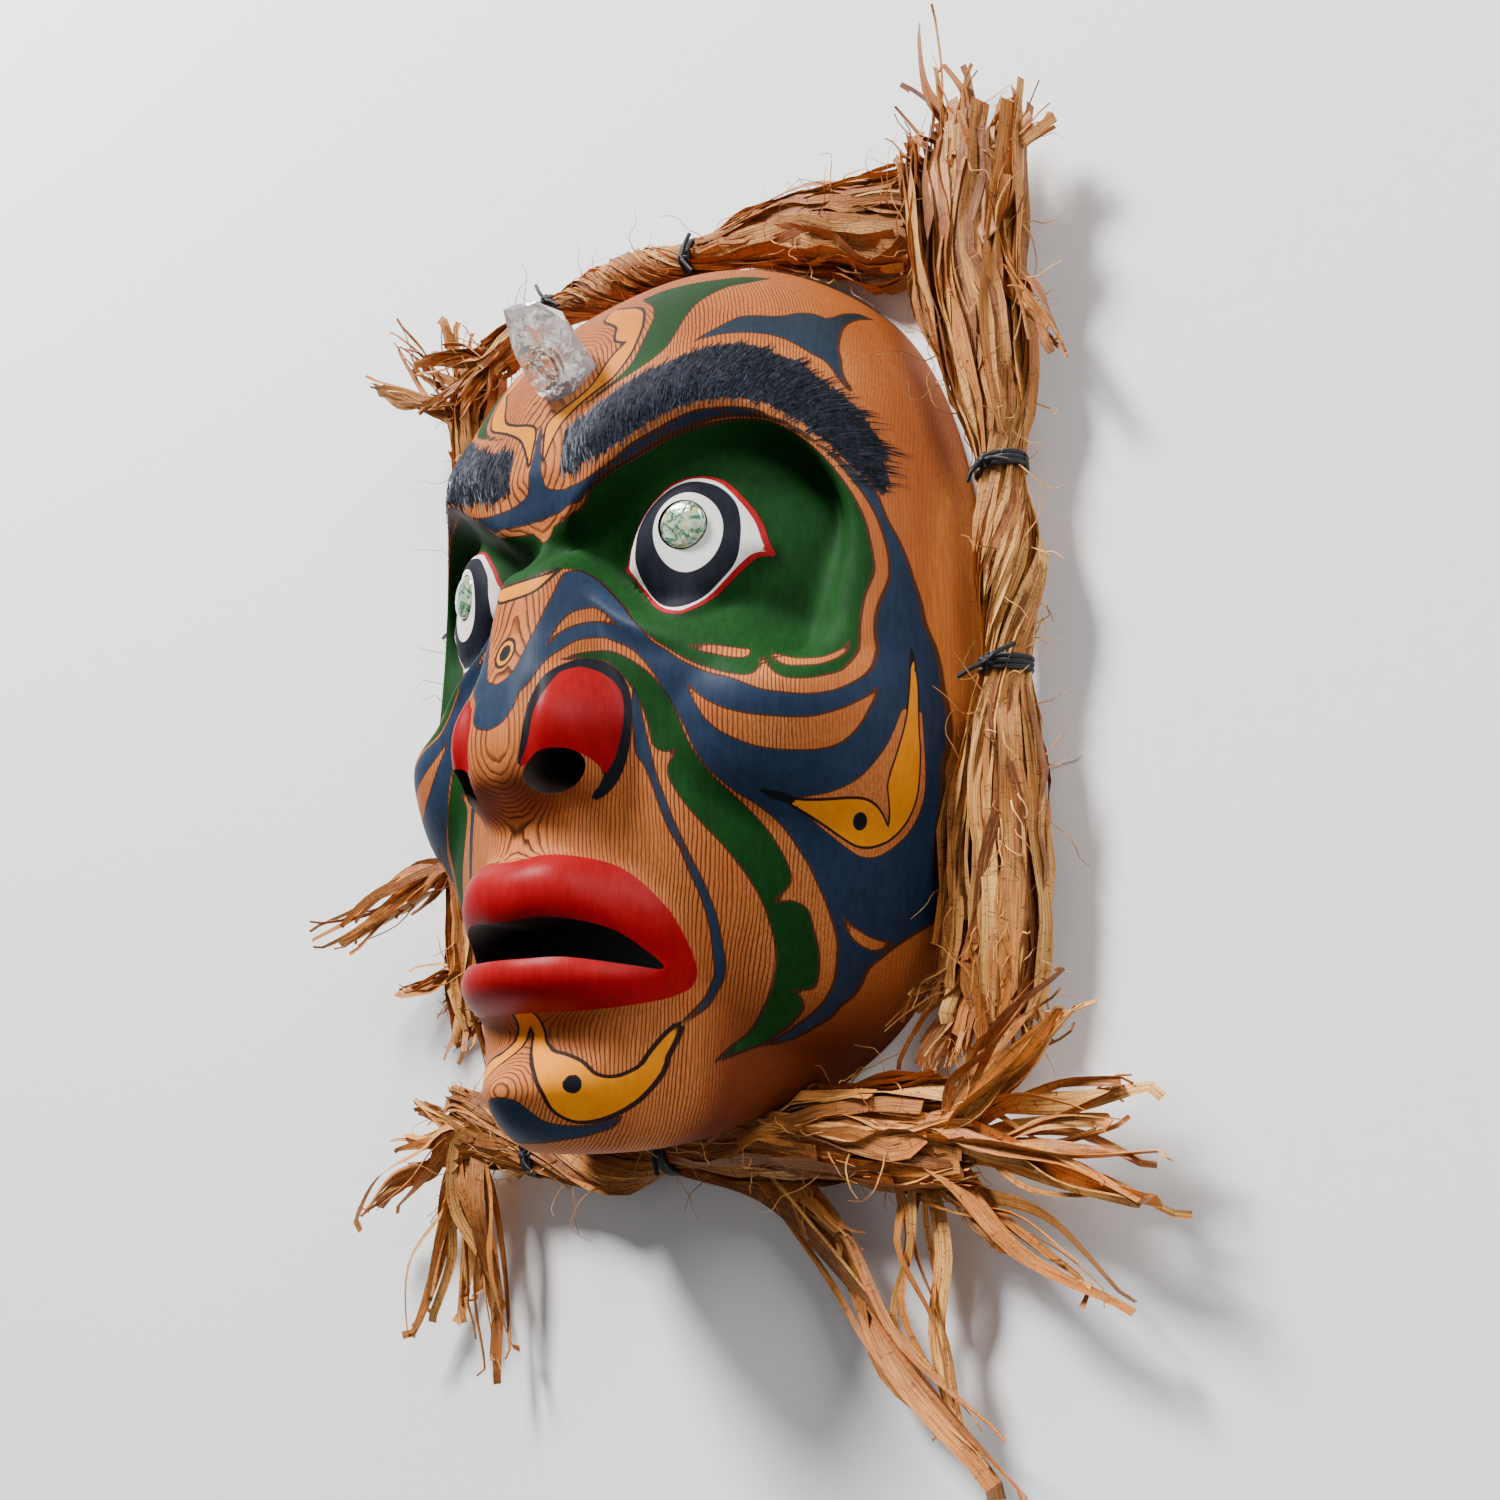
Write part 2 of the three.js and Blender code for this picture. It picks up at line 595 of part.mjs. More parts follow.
const box = new THREE.Box3().setFromObject(group);
const middle = box.getCenter(new THREE.Vector3());
for (const mesh of group.children) mesh.geometry.translate(-middle.x, -middle.y, -box.min.z);

export default group;
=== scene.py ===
import math

import bpy
import numpy as np
from mathutils import Matrix, Vector
from mathutils.bvhtree import BVHTree


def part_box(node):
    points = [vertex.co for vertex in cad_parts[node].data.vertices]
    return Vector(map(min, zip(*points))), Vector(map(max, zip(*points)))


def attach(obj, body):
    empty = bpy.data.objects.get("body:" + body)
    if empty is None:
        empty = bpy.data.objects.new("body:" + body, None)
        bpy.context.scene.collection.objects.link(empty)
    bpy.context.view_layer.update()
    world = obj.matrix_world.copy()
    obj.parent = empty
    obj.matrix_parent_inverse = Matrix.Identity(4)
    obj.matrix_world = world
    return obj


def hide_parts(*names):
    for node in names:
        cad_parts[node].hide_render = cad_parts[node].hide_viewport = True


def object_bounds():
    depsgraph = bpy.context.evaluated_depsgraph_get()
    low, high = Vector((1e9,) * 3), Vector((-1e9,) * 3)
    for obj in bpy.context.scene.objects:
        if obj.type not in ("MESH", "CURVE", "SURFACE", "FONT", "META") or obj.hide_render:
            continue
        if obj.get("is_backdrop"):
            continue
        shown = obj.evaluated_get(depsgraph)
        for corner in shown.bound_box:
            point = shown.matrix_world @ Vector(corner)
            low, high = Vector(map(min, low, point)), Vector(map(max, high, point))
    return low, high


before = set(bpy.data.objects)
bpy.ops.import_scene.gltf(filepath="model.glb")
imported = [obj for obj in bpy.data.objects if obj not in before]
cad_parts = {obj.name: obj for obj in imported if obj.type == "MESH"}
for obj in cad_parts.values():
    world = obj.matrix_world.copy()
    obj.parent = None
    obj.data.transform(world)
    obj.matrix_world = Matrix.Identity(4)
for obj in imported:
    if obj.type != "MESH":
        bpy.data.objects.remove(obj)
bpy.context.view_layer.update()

# Lengths are in millimetres in the mask's own coordinates: x is 0 on the middle plane, y is 0 at
# the eyes' height, and z is 0 on the floor that the mask lies on. HEART is the axis of the growth
# rings, and WAIST the radius of a bundle under its ties.
HALF_WIDTH, TOP_REACH, LOW_REACH, WIDEST_Y = 114, 155.5, 146, -30
DOME_RISE, DOME_SUNK, CHIN_THRUST = 105, 20, 17
WALL, FACE_WALL = 10, 11
OUTER_CELLS, INNER_CELLS = 264, 66
HEART_X, HEART_Z = 3, 119
EYE_X, EYE_LIFT, SHELL_RADIUS, SHELL_GAP = 52.5, 4.5, 7.5, 0.45
CRYSTAL_GAP = 0.3
WAIST, CORD, CORD_END = 6.9, 0.95, 0.8
FLOOR_HALF, FLOOR_CELLS = 1600, 8
STRIP_GAP, STRIP_NEAR = 1.2, 25
BROW_STROKES, CORE_STRIPS, STRIPS_PER_TIP, FRAYED_HAIRS = 860, 96, 7, 170
CORE_POINTS, TIP_POINTS, HAIR_POINTS = 34, 24, 11
VEILS, STAINS, PHANTOMS = 120, 16, 3
TURN = 2 * math.pi

mask_low, mask_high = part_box("carved_mask")
SHIFT = np.array([(mask_low[0] + mask_high[0]) * 500,
                  mask_high[1] * 1000 - WIDEST_Y - TOP_REACH, 0])
rng = np.random.default_rng(7)
scene = bpy.context.scene


def to_frame(points):
    """millimetres in mask coordinates to metres in the shared frame"""
    return (np.asarray(points, float) + SHIFT) * 0.001


def clamp01(v):
    return np.clip(v, 0, 1)


def smooth(a, b, v):
    t = clamp01((v - a) / (b - a))
    return t * t * (3 - 2 * t)


def bump(d2):
    return smooth(0, 1, 1 - d2)


def mound(x, y, cx, cy, rx, ry):
    """1 in the middle of an ellipse, falling to 0 at its edge"""
    return bump(((x - cx) / rx) ** 2 + ((y - cy) / ry) ** 2)


def roll(d, w):
    return np.sqrt(1 - (1 - clamp01(d / w)) ** 2)


def unit(v):
    """a vector, or each row of many, at length 1"""
    v = np.asarray(v, float)
    return v / (np.linalg.norm(v, axis=-1, keepdims=True) + 1e-9)


def hermite(a, leave, b, arrive, t):
    """from a at t = 0 to b at t = 1, with the rates of leaving and arriving"""
    t2, t3 = t * t, t * t * t
    return (a * (2 * t3 - 3 * t2 + 1) + leave * (t3 - 2 * t2 + t)
            + b * (3 * t2 - 2 * t3) + arrive * (t3 - t2))


def between(a, b, c, d, t):
    """from b to c on the smooth curve through all four"""
    return hermite(b, (c - a) / 2, c, (d - b) / 2, t)


def profile(v, table):
    """smooth curve through a short table of (position, value)"""
    xs, ys = np.array(table, float).T
    v = np.clip(v, xs[0], xs[-1])
    i = np.clip(np.searchsorted(xs, v, side="left") - 1, 0, len(xs) - 2)
    lo = np.maximum(np.arange(len(xs)) - 1, 0)
    hi = np.minimum(np.arange(len(xs)) + 1, len(xs) - 1)
    slope = (ys[hi] - ys[lo]) / (xs[hi] - xs[lo])
    w = xs[i + 1] - xs[i]
    return hermite(ys[i], slope[i] * w, ys[i + 1], slope[i + 1] * w, (v - xs[i]) / w)


def rows(text):
    """an array from "1,2 3,4", with a row for each word"""
    return np.array([[float(v) for v in word.split(",")] for word in text.split()])


def mirrored(half):
    return np.vstack([half, half[-2:0:-1] * (-1, 1)])


def outline(points):
    """closed smooth loop through the points"""
    near = [np.roll(points, k, 0) for k in (1, 0, -1, -2)]
    return np.stack([between(*near, k / 6) for k in range(6)], 1).reshape(-1, 2)


def inset(x, y, loop):
    """distance to a closed outline, positive inside"""
    best = np.full(np.shape(x), 1e9)
    inside = np.zeros(np.shape(x), bool)
    for (ax, ay), (bx, by) in zip(loop, np.roll(loop, -1, 0)):
        dx, dy = bx - ax, by - ay
        t = clamp01(((x - ax) * dx + (y - ay) * dy) / (dx * dx + dy * dy + 1e-12))
        best = np.minimum(best, (x - ax - t * dx) ** 2 + (y - ay - t * dy) ** 2)
        if dy:
            inside ^= ((ay > y) != (by > y)) & (x < dx * (y - ay) / dy + ax)
    best = np.sqrt(best)
    return np.where(inside, best, -best)


# The carved surface, the same as the mask's solid.
SOCKET = outline(rows("""0,6 12,9 24,16 40,27 54,34 70,36 84,28 94,12 100,-10 100,-34 92,-50
 80,-54 64,-46 46,-37 32,-28 20,-18 10,-9 0,-7"""))
EYE = outline(rows("""28,-10 34,3 43,13 55,18 66,11 72,0 75,-9 69,-14 63,-23 52,-30 41,-25
 33,-16"""))
LIPS = outline(mirrored(rows("""0,-102 16,-101 31,-105 42,-117 46,-130 45,-138 39,-144 24,-147
 0,-147""")))
MOUTH = outline(mirrored(rows("""0,-121 16,-120 30,-123 38,-130 41,-135 34,-134 22,-132 10,-132
 0,-132""")))


def relief(x, y):
    """what the carving adds to the plain dome, along Z"""
    ax = np.abs(x)
    z = 8 * mound(ax, y, 0, 36, 82, 70)
    brow = profile(ax, [(0, 28), (20, 30), (40, 38), (60, 44), (80, 40), (92, 26), (104, 2)])
    z = z + 4 * np.exp(-((y - brow) / 12) ** 2) * smooth(98, 45, ax) * smooth(10, 30, ax)
    z = z + 7 * mound(ax, y, 88, -68, 42, 29)
    edge = 9 + 14 * smooth(14, -30, y) * smooth(30, 70, ax)
    z = z - (6 + 12 * smooth(4, 28, ax)) * smooth(0, 1, inset(ax, y, SOCKET) / edge)
    z = z + 8 * mound(ax, y, 53, -5, 38, 38) + 5 * roll(inset(ax, y, EYE), 12)
    ridge = profile(y, [(-97, 0), (-90, 2), (-85, 8), (-80, 16.5), (-75, 19.5), (-62, 21),
                        (-37, 16), (-13, 8), (4, -5), (16, -3), (26, 0)])
    half = profile(y, [(-88, 31), (-75, 36), (-62, 37), (-50, 33), (-42, 29), (-30, 26), (-13, 20),
                       (10, 18)])
    z = z + ridge * bump((ax / half) ** (2 + smooth(-38, -60, y)))
    z = z - 2 * np.exp(-((ax - 14) / 3) ** 2) * smooth(-44, -54, y) * smooth(-84, -76, y)
    z = z + 1.5 * mound(ax, y, 24, -63, 13, 20)
    z = z + 9 * np.exp(-(ax / 26) ** 2) * bump(((y + 119) / 43) ** 2)
    z = z + 8 * roll(np.minimum(inset(x, y, LIPS), 3 - inset(x, y, MOUTH)), 11)
    return z + 24 * np.exp(-(ax / 25) ** 2) * smooth(-150, -172, y)


def face_points(s, t, shrink):
    """points of the face for s, t in -1..1; shrink above 0 gives the hollow's surface"""
    dx = s * np.sqrt(1 - t * t / 2)
    dy = t * np.sqrt(1 - s * s / 2)
    radius = np.minimum(1, np.hypot(dx, dy))
    angle = np.arctan2(dy, dx)
    c, sn = np.cos(angle), np.sin(angle)
    n = np.where(sn > 0, 2.4, 2.6)
    k = (np.abs(c) ** n + np.abs(sn) ** n) ** (-1 / n)
    below = np.degrees(np.arctan2(sn, np.abs(c))) + 45
    full = (2.6 - 0.4 * bump((below / 32) ** 2) + 2.4 * smooth(0.85, 1, -sn)
            + 0.5 * smooth(0.3, 0.9, sn))
    foot = DOME_SUNK / DOME_RISE
    lean = radius * np.arctan2((1 - foot ** full) ** (1 / full), foot)
    sa, ca = np.sin(lean), np.cos(lean)
    q = (sa ** full + ca ** full) ** (-1 / full)
    rho, h = q * sa, q * ca
    reach = np.where(sn > 0, TOP_REACH, LOW_REACH) - shrink
    x = (HALF_WIDTH - shrink) * k * c * rho
    y = WIDEST_Y + reach * k * sn * rho
    y = y - CHIN_THRUST * smooth(0.55, 1, -sn) * smooth(foot, 0.75, h) * smooth(0, 0.5, rho)
    z = DOME_RISE * h - DOME_SUNK
    fade = smooth(0, 0.35, z / DOME_RISE)
    carved = relief(x, y)
    if not shrink:
        return x, y, z + carved * fade
    thinner = 1 - FACE_WALL / (DOME_RISE - DOME_SUNK)
    return x, y, np.maximum(0, z * thinner + np.minimum(4, carved) * fade)


def face_grid(cells, shrink, passes):
    """(cells + 1) squared points of the face, softened a little inside its border"""
    line = np.linspace(-1, 1, cells + 1)
    t, s = np.meshgrid(line, line, indexing="ij")
    p = np.stack(face_points(s, t, shrink), -1)
    for _ in range(passes):
        around = (p[:-2, 1:-1] + p[2:, 1:-1] + p[1:-1, :-2] + p[1:-1, 2:]) / 4
        p[1:-1, 1:-1] = 0.5 * p[1:-1, 1:-1] + 0.5 * around
    return p


# The painted shapes of the right half; the left half mirrors them. The leaf lies where the face
# falls away to the side, so its three outlines are in (x - z, y).
FOREHEAD_YELLOW = """8,95 15,92 22,89 27,85 30,80 32,75 33,69 33,63 31,57 28,53 22,50 16,47 10,43
 7,39 5,35 3.5,31! 3,37 2.7,42 4,45 8,47 14,49 20,52 23,56 25,61 27,65 30,69! 25,71 23,74 21,79
 15,84 10,88"""
FOREHEAD_GREEN = """20,96! 24,92 29,88 32,84 35,78 36,70 36,62 35,57 31,52 26,49 20,46.5! 25,47.5
 32,51 38,54 43,58.5 45.5,63 46,70 46,78 46.5,84 49,89 52,92 56.5,94 60,97.5! 52,98.5 45,98 35,98.6
 26,98.4"""
FOREHEAD_BLUE = """53,63.3! 56.5,67.3 60.5,72 62.5,74 66,74.3 70,74 73,74.5 75,76 77,77 79,76.8
 81,75.8 82,77.5 82.3,81 82.8,84.3! 84,84.3! 84.3,80 84.5,76 85,72 86,67 87,62 88.5,57 90,51
 92.5,45! 90,49 88,53 86,56 83,58.3 80,61 77,63.3 73,65.3 69,66.2 65,66.5 60,66 56,64.7"""
BROW_BLUE = """-3,44! 0.3,44! 0.8,40 1.3,35 2.2,30 3,25 3.7,22! 5,20.4 10,18.5 16,17 23.5,17.3
 29.6,19.2 35,22 40,25.4 46.5,29 53,32.4 60,35 68,35.8 74,34.8 80,31.3 84,28.3 88,24 92,20 95,16
 98,12 100,8.5 101,5 102.2,0 103.8,-5 105.2,-11 106.3,-18 107.3,-25 108,-32 109,-40 109.6,-50
 110,-60! 102,-60! 102.6,-44 103,-35 103.2,-28 103.2,-20 103,-12 102,-5 100.5,1.5 98.5,7 96,12
 93,17.5 90,21.5 86,25.5 82,29 78,32 74,33.4 68,34.2 62,33.6 56,31.8 50,29.4 43,25.4 35,20.8 28,17
 22,13.5 20,12 16,11.7 8,12 -3,12!"""
CHEEK_BLUE = """16,-9! 20,-12 25,-17 31,-23 37,-29 42,-34 45,-38 49,-41 54,-45 62,-49.6 70,-52.6
 75,-55 80,-57.4 87,-58.6 91,-58.5 95,-57.2 98.5,-54 101.2,-49 102.7,-42! 109.1,-42! 109.6,-50
 110,-60 109.4,-68 108,-75 106.5,-83 104.2,-90.8 102,-98.5 100.4,-106 98.8,-113 98,-117 95,-120.8
 91.2,-124.6 88,-127.7 85,-130.8 82,-133.8 78.8,-138.5 75.8,-142 72.7,-144.6 69.6,-147.7 65,-150.8
 60.4,-153.6 52,-157! 59.6,-152.6 62.7,-150.4 66.5,-147.6 70.4,-144 73.5,-140.2 75.8,-136.2
 77.7,-131.5 79.2,-127 79.8,-121.5 79.8,-115.4 79.2,-110 78.5,-105.4 77.3,-101.5 75.8,-97
 73.5,-92.3 69.6,-87.7 65.8,-84.6 62.3,-80.8 59.2,-77 56.5,-71.5 54.2,-65.4 51.5,-60 48.5,-54
 45.5,-48.5 42,-43.5 37,-38.5 31,-35.2 26,-33 21,-34 18,-38 15.7,-41.5 13.4,-48 10,-52 9,-57 6,-61
 1,-62.5 -3,-62.6! -3,-48! 0,-48 5,-46 7.3,-41.5 9.6,-34 11.5,-28 13.8,-18.5 15,-10!"""
NOSE_GAP = """14.6,-37.7! 15.4,-32 17.3,-26 19.6,-23.5 23.5,-23 27.3,-25.4 31,-28.5 35,-32.3!
 31,-30.4 26.5,-28.5 22,-28 18,-31 15.8,-35.4"""
CHEEK_GAP = """54.6,-51! 58,-54 62,-57.5 66,-60 70,-62 75,-63.6 80,-64.5 85,-65 90,-64.8 94,-63.3
 97,-61.5 99.5,-59 101,-57 102.3,-54 103.2,-50! 103,-53 102.3,-57 101.3,-61 99.5,-66 97,-70
 94,-72.8 90,-74.3 85,-74.6 80,-74.2 75,-73 70,-70.5 66,-68 62,-64 60,-61 57.5,-57 55.5,-53.5"""
JAW_GAP = """81.9,-118.8! 81.6,-121.5 81.8,-125.4 82.7,-127.7 84.6,-129.2 86.5,-128.5 88,-126.9
 89.2,-125.8! 87.7,-126 85.8,-125.4 83.8,-123 82.7,-120.8"""
LEAF_GAP = """8.3,-85.2! 21.2,-86.9 30.7,-86.3 38.9,-84.9 47.2,-82 53.2,-78.1 59.3,-72.5 63.1,-67.2
 66.5,-60.9 69.5,-53.3 71.2,-45.6 72.8,-34.8! 73.8,-41.6 74.9,-48.9 76.3,-55.1 77,-63.1 77.8,-69.8
 78.6,-76.5 78.7,-82.3 77.7,-87.2 74.8,-92.3 70.5,-96.6 64.2,-100.5 58,-102.8 51.7,-103 45.3,-100.7
 39,-97.6 32.8,-94.5 26.5,-91.1 19.1,-88.3 11.9,-86.6"""
LEAF = """17.8,-87.2! 26.1,-88 35.6,-87.9 45.3,-87.3 51.5,-87.4 56.1,-88.6 59.5,-90.9 61.7,-93.4
 62.8,-95.5! 63.4,-91 62.5,-86.7 61.6,-83 62.5,-79.6 64.6,-75 67.1,-69.3 69.4,-63.1 70.7,-56.8
 71.9,-49.3 73,-40.8! 74.1,-47.1 74.7,-52.6 74.6,-59.9 74.7,-66 75.4,-71.8 75.4,-78.5 74.9,-83.4
 73.6,-87.5 71.3,-91.3 68.3,-94.2 65.2,-96.4 61.5,-98.2 55.2,-99.7 49,-99.4 42.7,-97.1 36.4,-94.4
 28.9,-91.4 22.7,-89.2"""
LEAF_TIP = """5.5,-84.2! 13,-84.9 21.3,-86.6 24,-87.6! 21.3,-88.6 13,-87.2"""
SOCKET_GREEN = """-3,4.2! 0,4.2 2.5,5.5 5,8.4! 10,8.6 16,8.8 20,10.4 25,14.6 31,18 37,21.3 43,24.6
 50,28.6 56,31 62,32.6 68,33.2 74,32.4 78,30.6 82,27.6 86,23.6 89.5,19 92.5,14 95,9 97.3,3 98.8,-3
 99.8,-10 100.5,-18 100.7,-26 100.6,-34 100.2,-40 99.6,-44 98,-48 96,-51 92,-53 89,-53.6 86,-53.3
 84,-52 82,-49.5 80,-47 78.5,-45.6 76.9,-44.6! 77.7,-46.2 78.8,-48 79,-49.5 78,-51.5 75,-52
 70,-50.8 65,-49 59,-46.3 54,-43.3 49,-39.5 46.5,-37.7 42,-33.4 37,-28.4 31,-22.5 25,-16.5 20,-11.5
 16,-8.6! 12.5,-9.5 6,-11.8 -3,-11.8!"""
SLOT_NEAR = """54,-40! 57,-40.3 62,-40.2 67,-41 72,-41.8 74.5,-42! 75,-43.5 75.3,-45.8! 70,-45.5
 65,-44.2 60,-42.8 57,-41.3"""
SLOT_FAR = """78.5,-42.4! 80,-43 83,-44.2 87,-45.6 91,-46.3 94,-46 96.5,-44 98,-42 98.7,-40!
 98.7,-42.5 98,-45 96,-47.5 93,-49.3 89,-49.4 86,-49 83,-47.5 80.5,-45"""
FOLD_GREEN = """19,-41.5! 22,-38.9 26,-37.8 30,-38.6 35.6,-41.6 41.9,-46.3 46.4,-51.2 49.3,-56.4
 52,-63 54.2,-69 57,-74.6 60,-79.6 63.5,-84.2 66.5,-88.5 69.2,-93 71.2,-97 72.7,-101.5 73.6,-106
 73.6,-109 72.8,-111.2 71.2,-113 69.2,-114.6 67.3,-116.7! 70.4,-116 72.7,-115.8 74.6,-117
 75.4,-118.8 75.2,-123 74.8,-127.7 73.8,-132.3 72.3,-136.2 70.4,-139.6 68,-140.4 64.6,-140.4!
 66.2,-142 66.5,-143.5 65.8,-145.4 63.5,-148 60.4,-150.8 56.5,-153.4 53.5,-155.6 49.6,-158.5
 46,-161.5! 48.8,-157 52,-153 55.8,-148.5 58.8,-144.6 61.5,-140.8 63.8,-136.2 65.4,-132.3 66.4,-127
 66.5,-121.5 66.2,-117 65.2,-112.3 63.5,-107.7 61.2,-103 58.5,-98.5 55,-93.8 50.4,-87 47.3,-81.5
 45.8,-77 47,-74 49.5,-72 52,-71.2! 49.5,-70.8 45,-70.8 42,-68.5 41.5,-65.4 40.7,-61 39,-55.4
 35.4,-48.8 31.8,-44.4 28.3,-41.5 24.4,-40.3 22,-40.6"""
FOLD_BLUE = """37,-50! 38.4,-55 39.5,-63 40.7,-70 41.8,-76 43.4,-82 45.4,-89 48,-97 50.4,-104.6
 52.3,-110.8 53.3,-117 53.7,-121.5 53.3,-127.7 52.7,-133.8 50.8,-138 48,-141.5 45.8,-145.4
 43,-148.8 41,-152! 43.5,-147 45.8,-143 47.3,-140 49.6,-136.2 50.5,-131.5 51.3,-126 51.5,-120
 50.8,-113.8 49.2,-107.7 47.3,-100 45,-94.6 42.6,-87 41,-81 38.8,-74.6 36.6,-71 36.4,-63 36,-57"""
NOSTRIL_BLACK = """10.4,-76! 11.4,-72 12.2,-67 12.6,-61 13.4,-54.6 16,-49 18.8,-44 20,-42.6
 22,-40.8 25,-40.4 29,-42.4 33,-46 35.4,-51 36,-57 35.8,-63 35,-70 33,-76.5 30.2,-81.4 26.2,-84.8
 20.9,-86.9! 24.5,-84.6 27,-82! 29.1,-79.5 30,-76.9 29.6,-74.6 28,-72.4 25.1,-71.7 20.9,-72.8
 15.4,-73.9"""
WING_RED = """20,-46.4 22.6,-43.6 26,-44.4 30,-47.4 33,-52 34.2,-58 34.3,-63 33.6,-68.5 32.2,-73.4
 30,-78 27.1,-82! 29.1,-79.5 30,-76.9 29.6,-74.6 28,-72.4 25.1,-71.7 20.9,-72.8 15.4,-73.9
 10.6,-76! 12.2,-73 14.5,-67 17,-60 19,-54.6 20,-48.5"""
LID = """25,-8.8! 28.4,-4.2 31.5,0.8 35,6.8 39.1,11.8 44.7,16.4 51.6,17.6 57.4,16.8 61.9,14.2
 66.8,8.1 70.8,1.1 73.2,-6 74.6,-11.4! 72,-10.8 69.5,-12 66.8,-14.9 64.1,-18.2 61.1,-21.4
 56.6,-25.3 53.2,-27.6 50.3,-28.6 45.2,-27.2 40.5,-24.6 36.6,-21.6 33.4,-18 31.2,-15 30.4,-12.4!
 28.4,-10.4"""
IRIS_BLACK = """34.2,-9 34.8,-4 36,2.5 39.6,8.2 44.6,13 51.1,14.9 56.3,14.4 61,12.1 65.2,6.7
 67,-0.5 67.2,-7.4 65.4,-13.2 62.2,-17.6 58.2,-21.6 53.8,-24.8 49.8,-26 44.5,-24.8 38.8,-21.4
 35,-16.6"""
BROW_HAIR = """11.5,39! 15,40.5 21,41.5 29,44.5 36,49 42,52.5 48,54.5 52,57 56,59.5 60,61 65,61.5
 69,61.2 72,60 76,57.5 80,55.5 83,53 86,49.5 89,46 91,44 94,40.5 96.5,36.5 98,32.5 99.5,29.5 101,26
 101.5,22 101.5,18 102.3,14 102.5,10 101,7! 98.5,11 96,15 93.5,18.5 90.5,22.5 87.5,26.3 84,30.5
 80,33.8 76,36.6 70,38 65,38 60,37 55,35.2 50,33 45,30.5 39,27 31,24 26,23 20,21 16,21.5 12,24.6!"""
NASION_YELLOW = """-3,-18! 7,-17.5 11,-14 13,-10! 11,-12 6,-13 -3,-13!"""
CHIN_YELLOW = """-3,-147! 4.3,-147.2! 4.9,-150.8 5.6,-153 6.6,-155.4 9,-157.3 11.3,-158.8 16,-160
 20.3,-161.8 22.4,-163.6 24,-165.3 26.2,-166.3 28,-166.4 29.8,-166 32.2,-164.6 34.2,-163 35.7,-160
 37.4,-157 39,-154.2 41.2,-151! 40,-155.8 38.6,-159.4 37.8,-163.2 36.4,-166 34.9,-168.4 32,-171.8
 28.7,-174.4 26,-176 22.8,-177.4 19.5,-178.2 16.9,-178 14.8,-176.2 14,-174 13.8,-171.5 13,-169
 10.6,-165 7.3,-161.5 4.4,-158.8 2.2,-155.8 1.5,-152.7 0,-150.4! -3,-150.4!"""
CHIN_BLUE = """-3,-172! 3,-172.2 6.1,-173.2 8.4,-176.1 10.3,-178.6 13.9,-179.8 18,-179.9
 21.8,-179.2 27,-177! 24,-179.8 20,-181.4 16.2,-182.6 12,-183.4 9,-183.9 4,-184.4 -3,-184.6!"""
# ellipses: x, y and the two radii
CHIN_DOT, LEAF_DOT = (19.6, -168, 2.1, 2.7), (50.3, -93, 3.1, 2.5)
NOSE_DOT, NOSE_RING, EYE_WHITE = (0, -37, 2.5, 2.9), (0, -37, 3.6, 4.2), (52.5, -2.2, 10.3, 12.8)


def shape(text):
    """closed outline through "x,y" points; a point marked ! is a corner"""
    corner = [word.endswith("!") for word in text.split()]
    p = rows(text.replace("!", ""))
    n = len(p)
    loop = []
    for i in range(n):
        a, b, c, d = (p[(i + k) % n] for k in (-1, 0, 1, 2))
        leave = c - b if corner[i] else (c - a) / 2
        arrive = c - b if corner[(i + 1) % n] else (d - b) / 2
        loop += [hermite(b, leave, c, arrive, k / 4) for k in range(4)]
    return np.array(loop)


def paint_distances(x, y, z):
    """distance into each painted area, in millimetres, by colour"""
    ax = np.abs(x)
    outward = ax - z
    ax = ax + 3.6 * mound(ax, y, 84, -34, 26, 24)
    above = z - 60

    def d(text):
        return inset(ax, y, shape(text))

    def on_side(text):
        return 1.3 * inset(outward, y, shape(text))

    def disc(cx, cy, rx, ry, across=ax):
        return (1 - np.hypot((across - cx) / rx, (y - cy) / ry)) * min(rx, ry)

    def both(*parts):
        return np.maximum.reduce(parts)

    def cut(whole, *gaps):
        return np.minimum.reduce([whole] + [-g for g in gaps])

    leaf_dot, chin_dot = disc(*LEAF_DOT, outward), disc(*CHIN_DOT)
    nostril = d(NOSTRIL_BLACK)
    return {
        "green": both(cut(d(SOCKET_GREEN), d(SLOT_NEAR), d(SLOT_FAR)), d(FOREHEAD_GREEN),
                      d(FOLD_GREEN)),
        "blue": both(d(FOREHEAD_BLUE), d(BROW_BLUE), d(FOLD_BLUE), np.minimum(above, d(CHIN_BLUE)),
                     cut(d(CHEEK_BLUE), d(NOSE_GAP), d(CHEEK_GAP), d(JAW_GAP), on_side(LEAF_GAP))),
        "yellow": both(d(FOREHEAD_YELLOW), cut(on_side(LEAF), leaf_dot), d(NASION_YELLOW),
                       np.minimum(above, cut(d(CHIN_YELLOW), chin_dot)), disc(*NOSE_RING)),
        "black": both(nostril, on_side(LEAF_TIP), leaf_dot, chin_dot, disc(*NOSE_DOT)),
        "red": both(d(WING_RED), np.where(x < 0, np.minimum(nostril, 19 - ax), -50),
                    inset(x, y, LIPS)),
        "lid": d(LID),
        "iris": d(IRIS_BLACK),
        "white": disc(*EYE_WHITE),
        "hair": d(BROW_HAIR),
    }


def linear(r, g, b):
    """screen colour 0..255 to a linear shader colour"""
    c = [v / 255 for v in (r, g, b)]
    return tuple(v / 12.92 if v < 0.04045 else ((v + 0.055) / 1.055) ** 2.4 for v in c) + (1.0,)


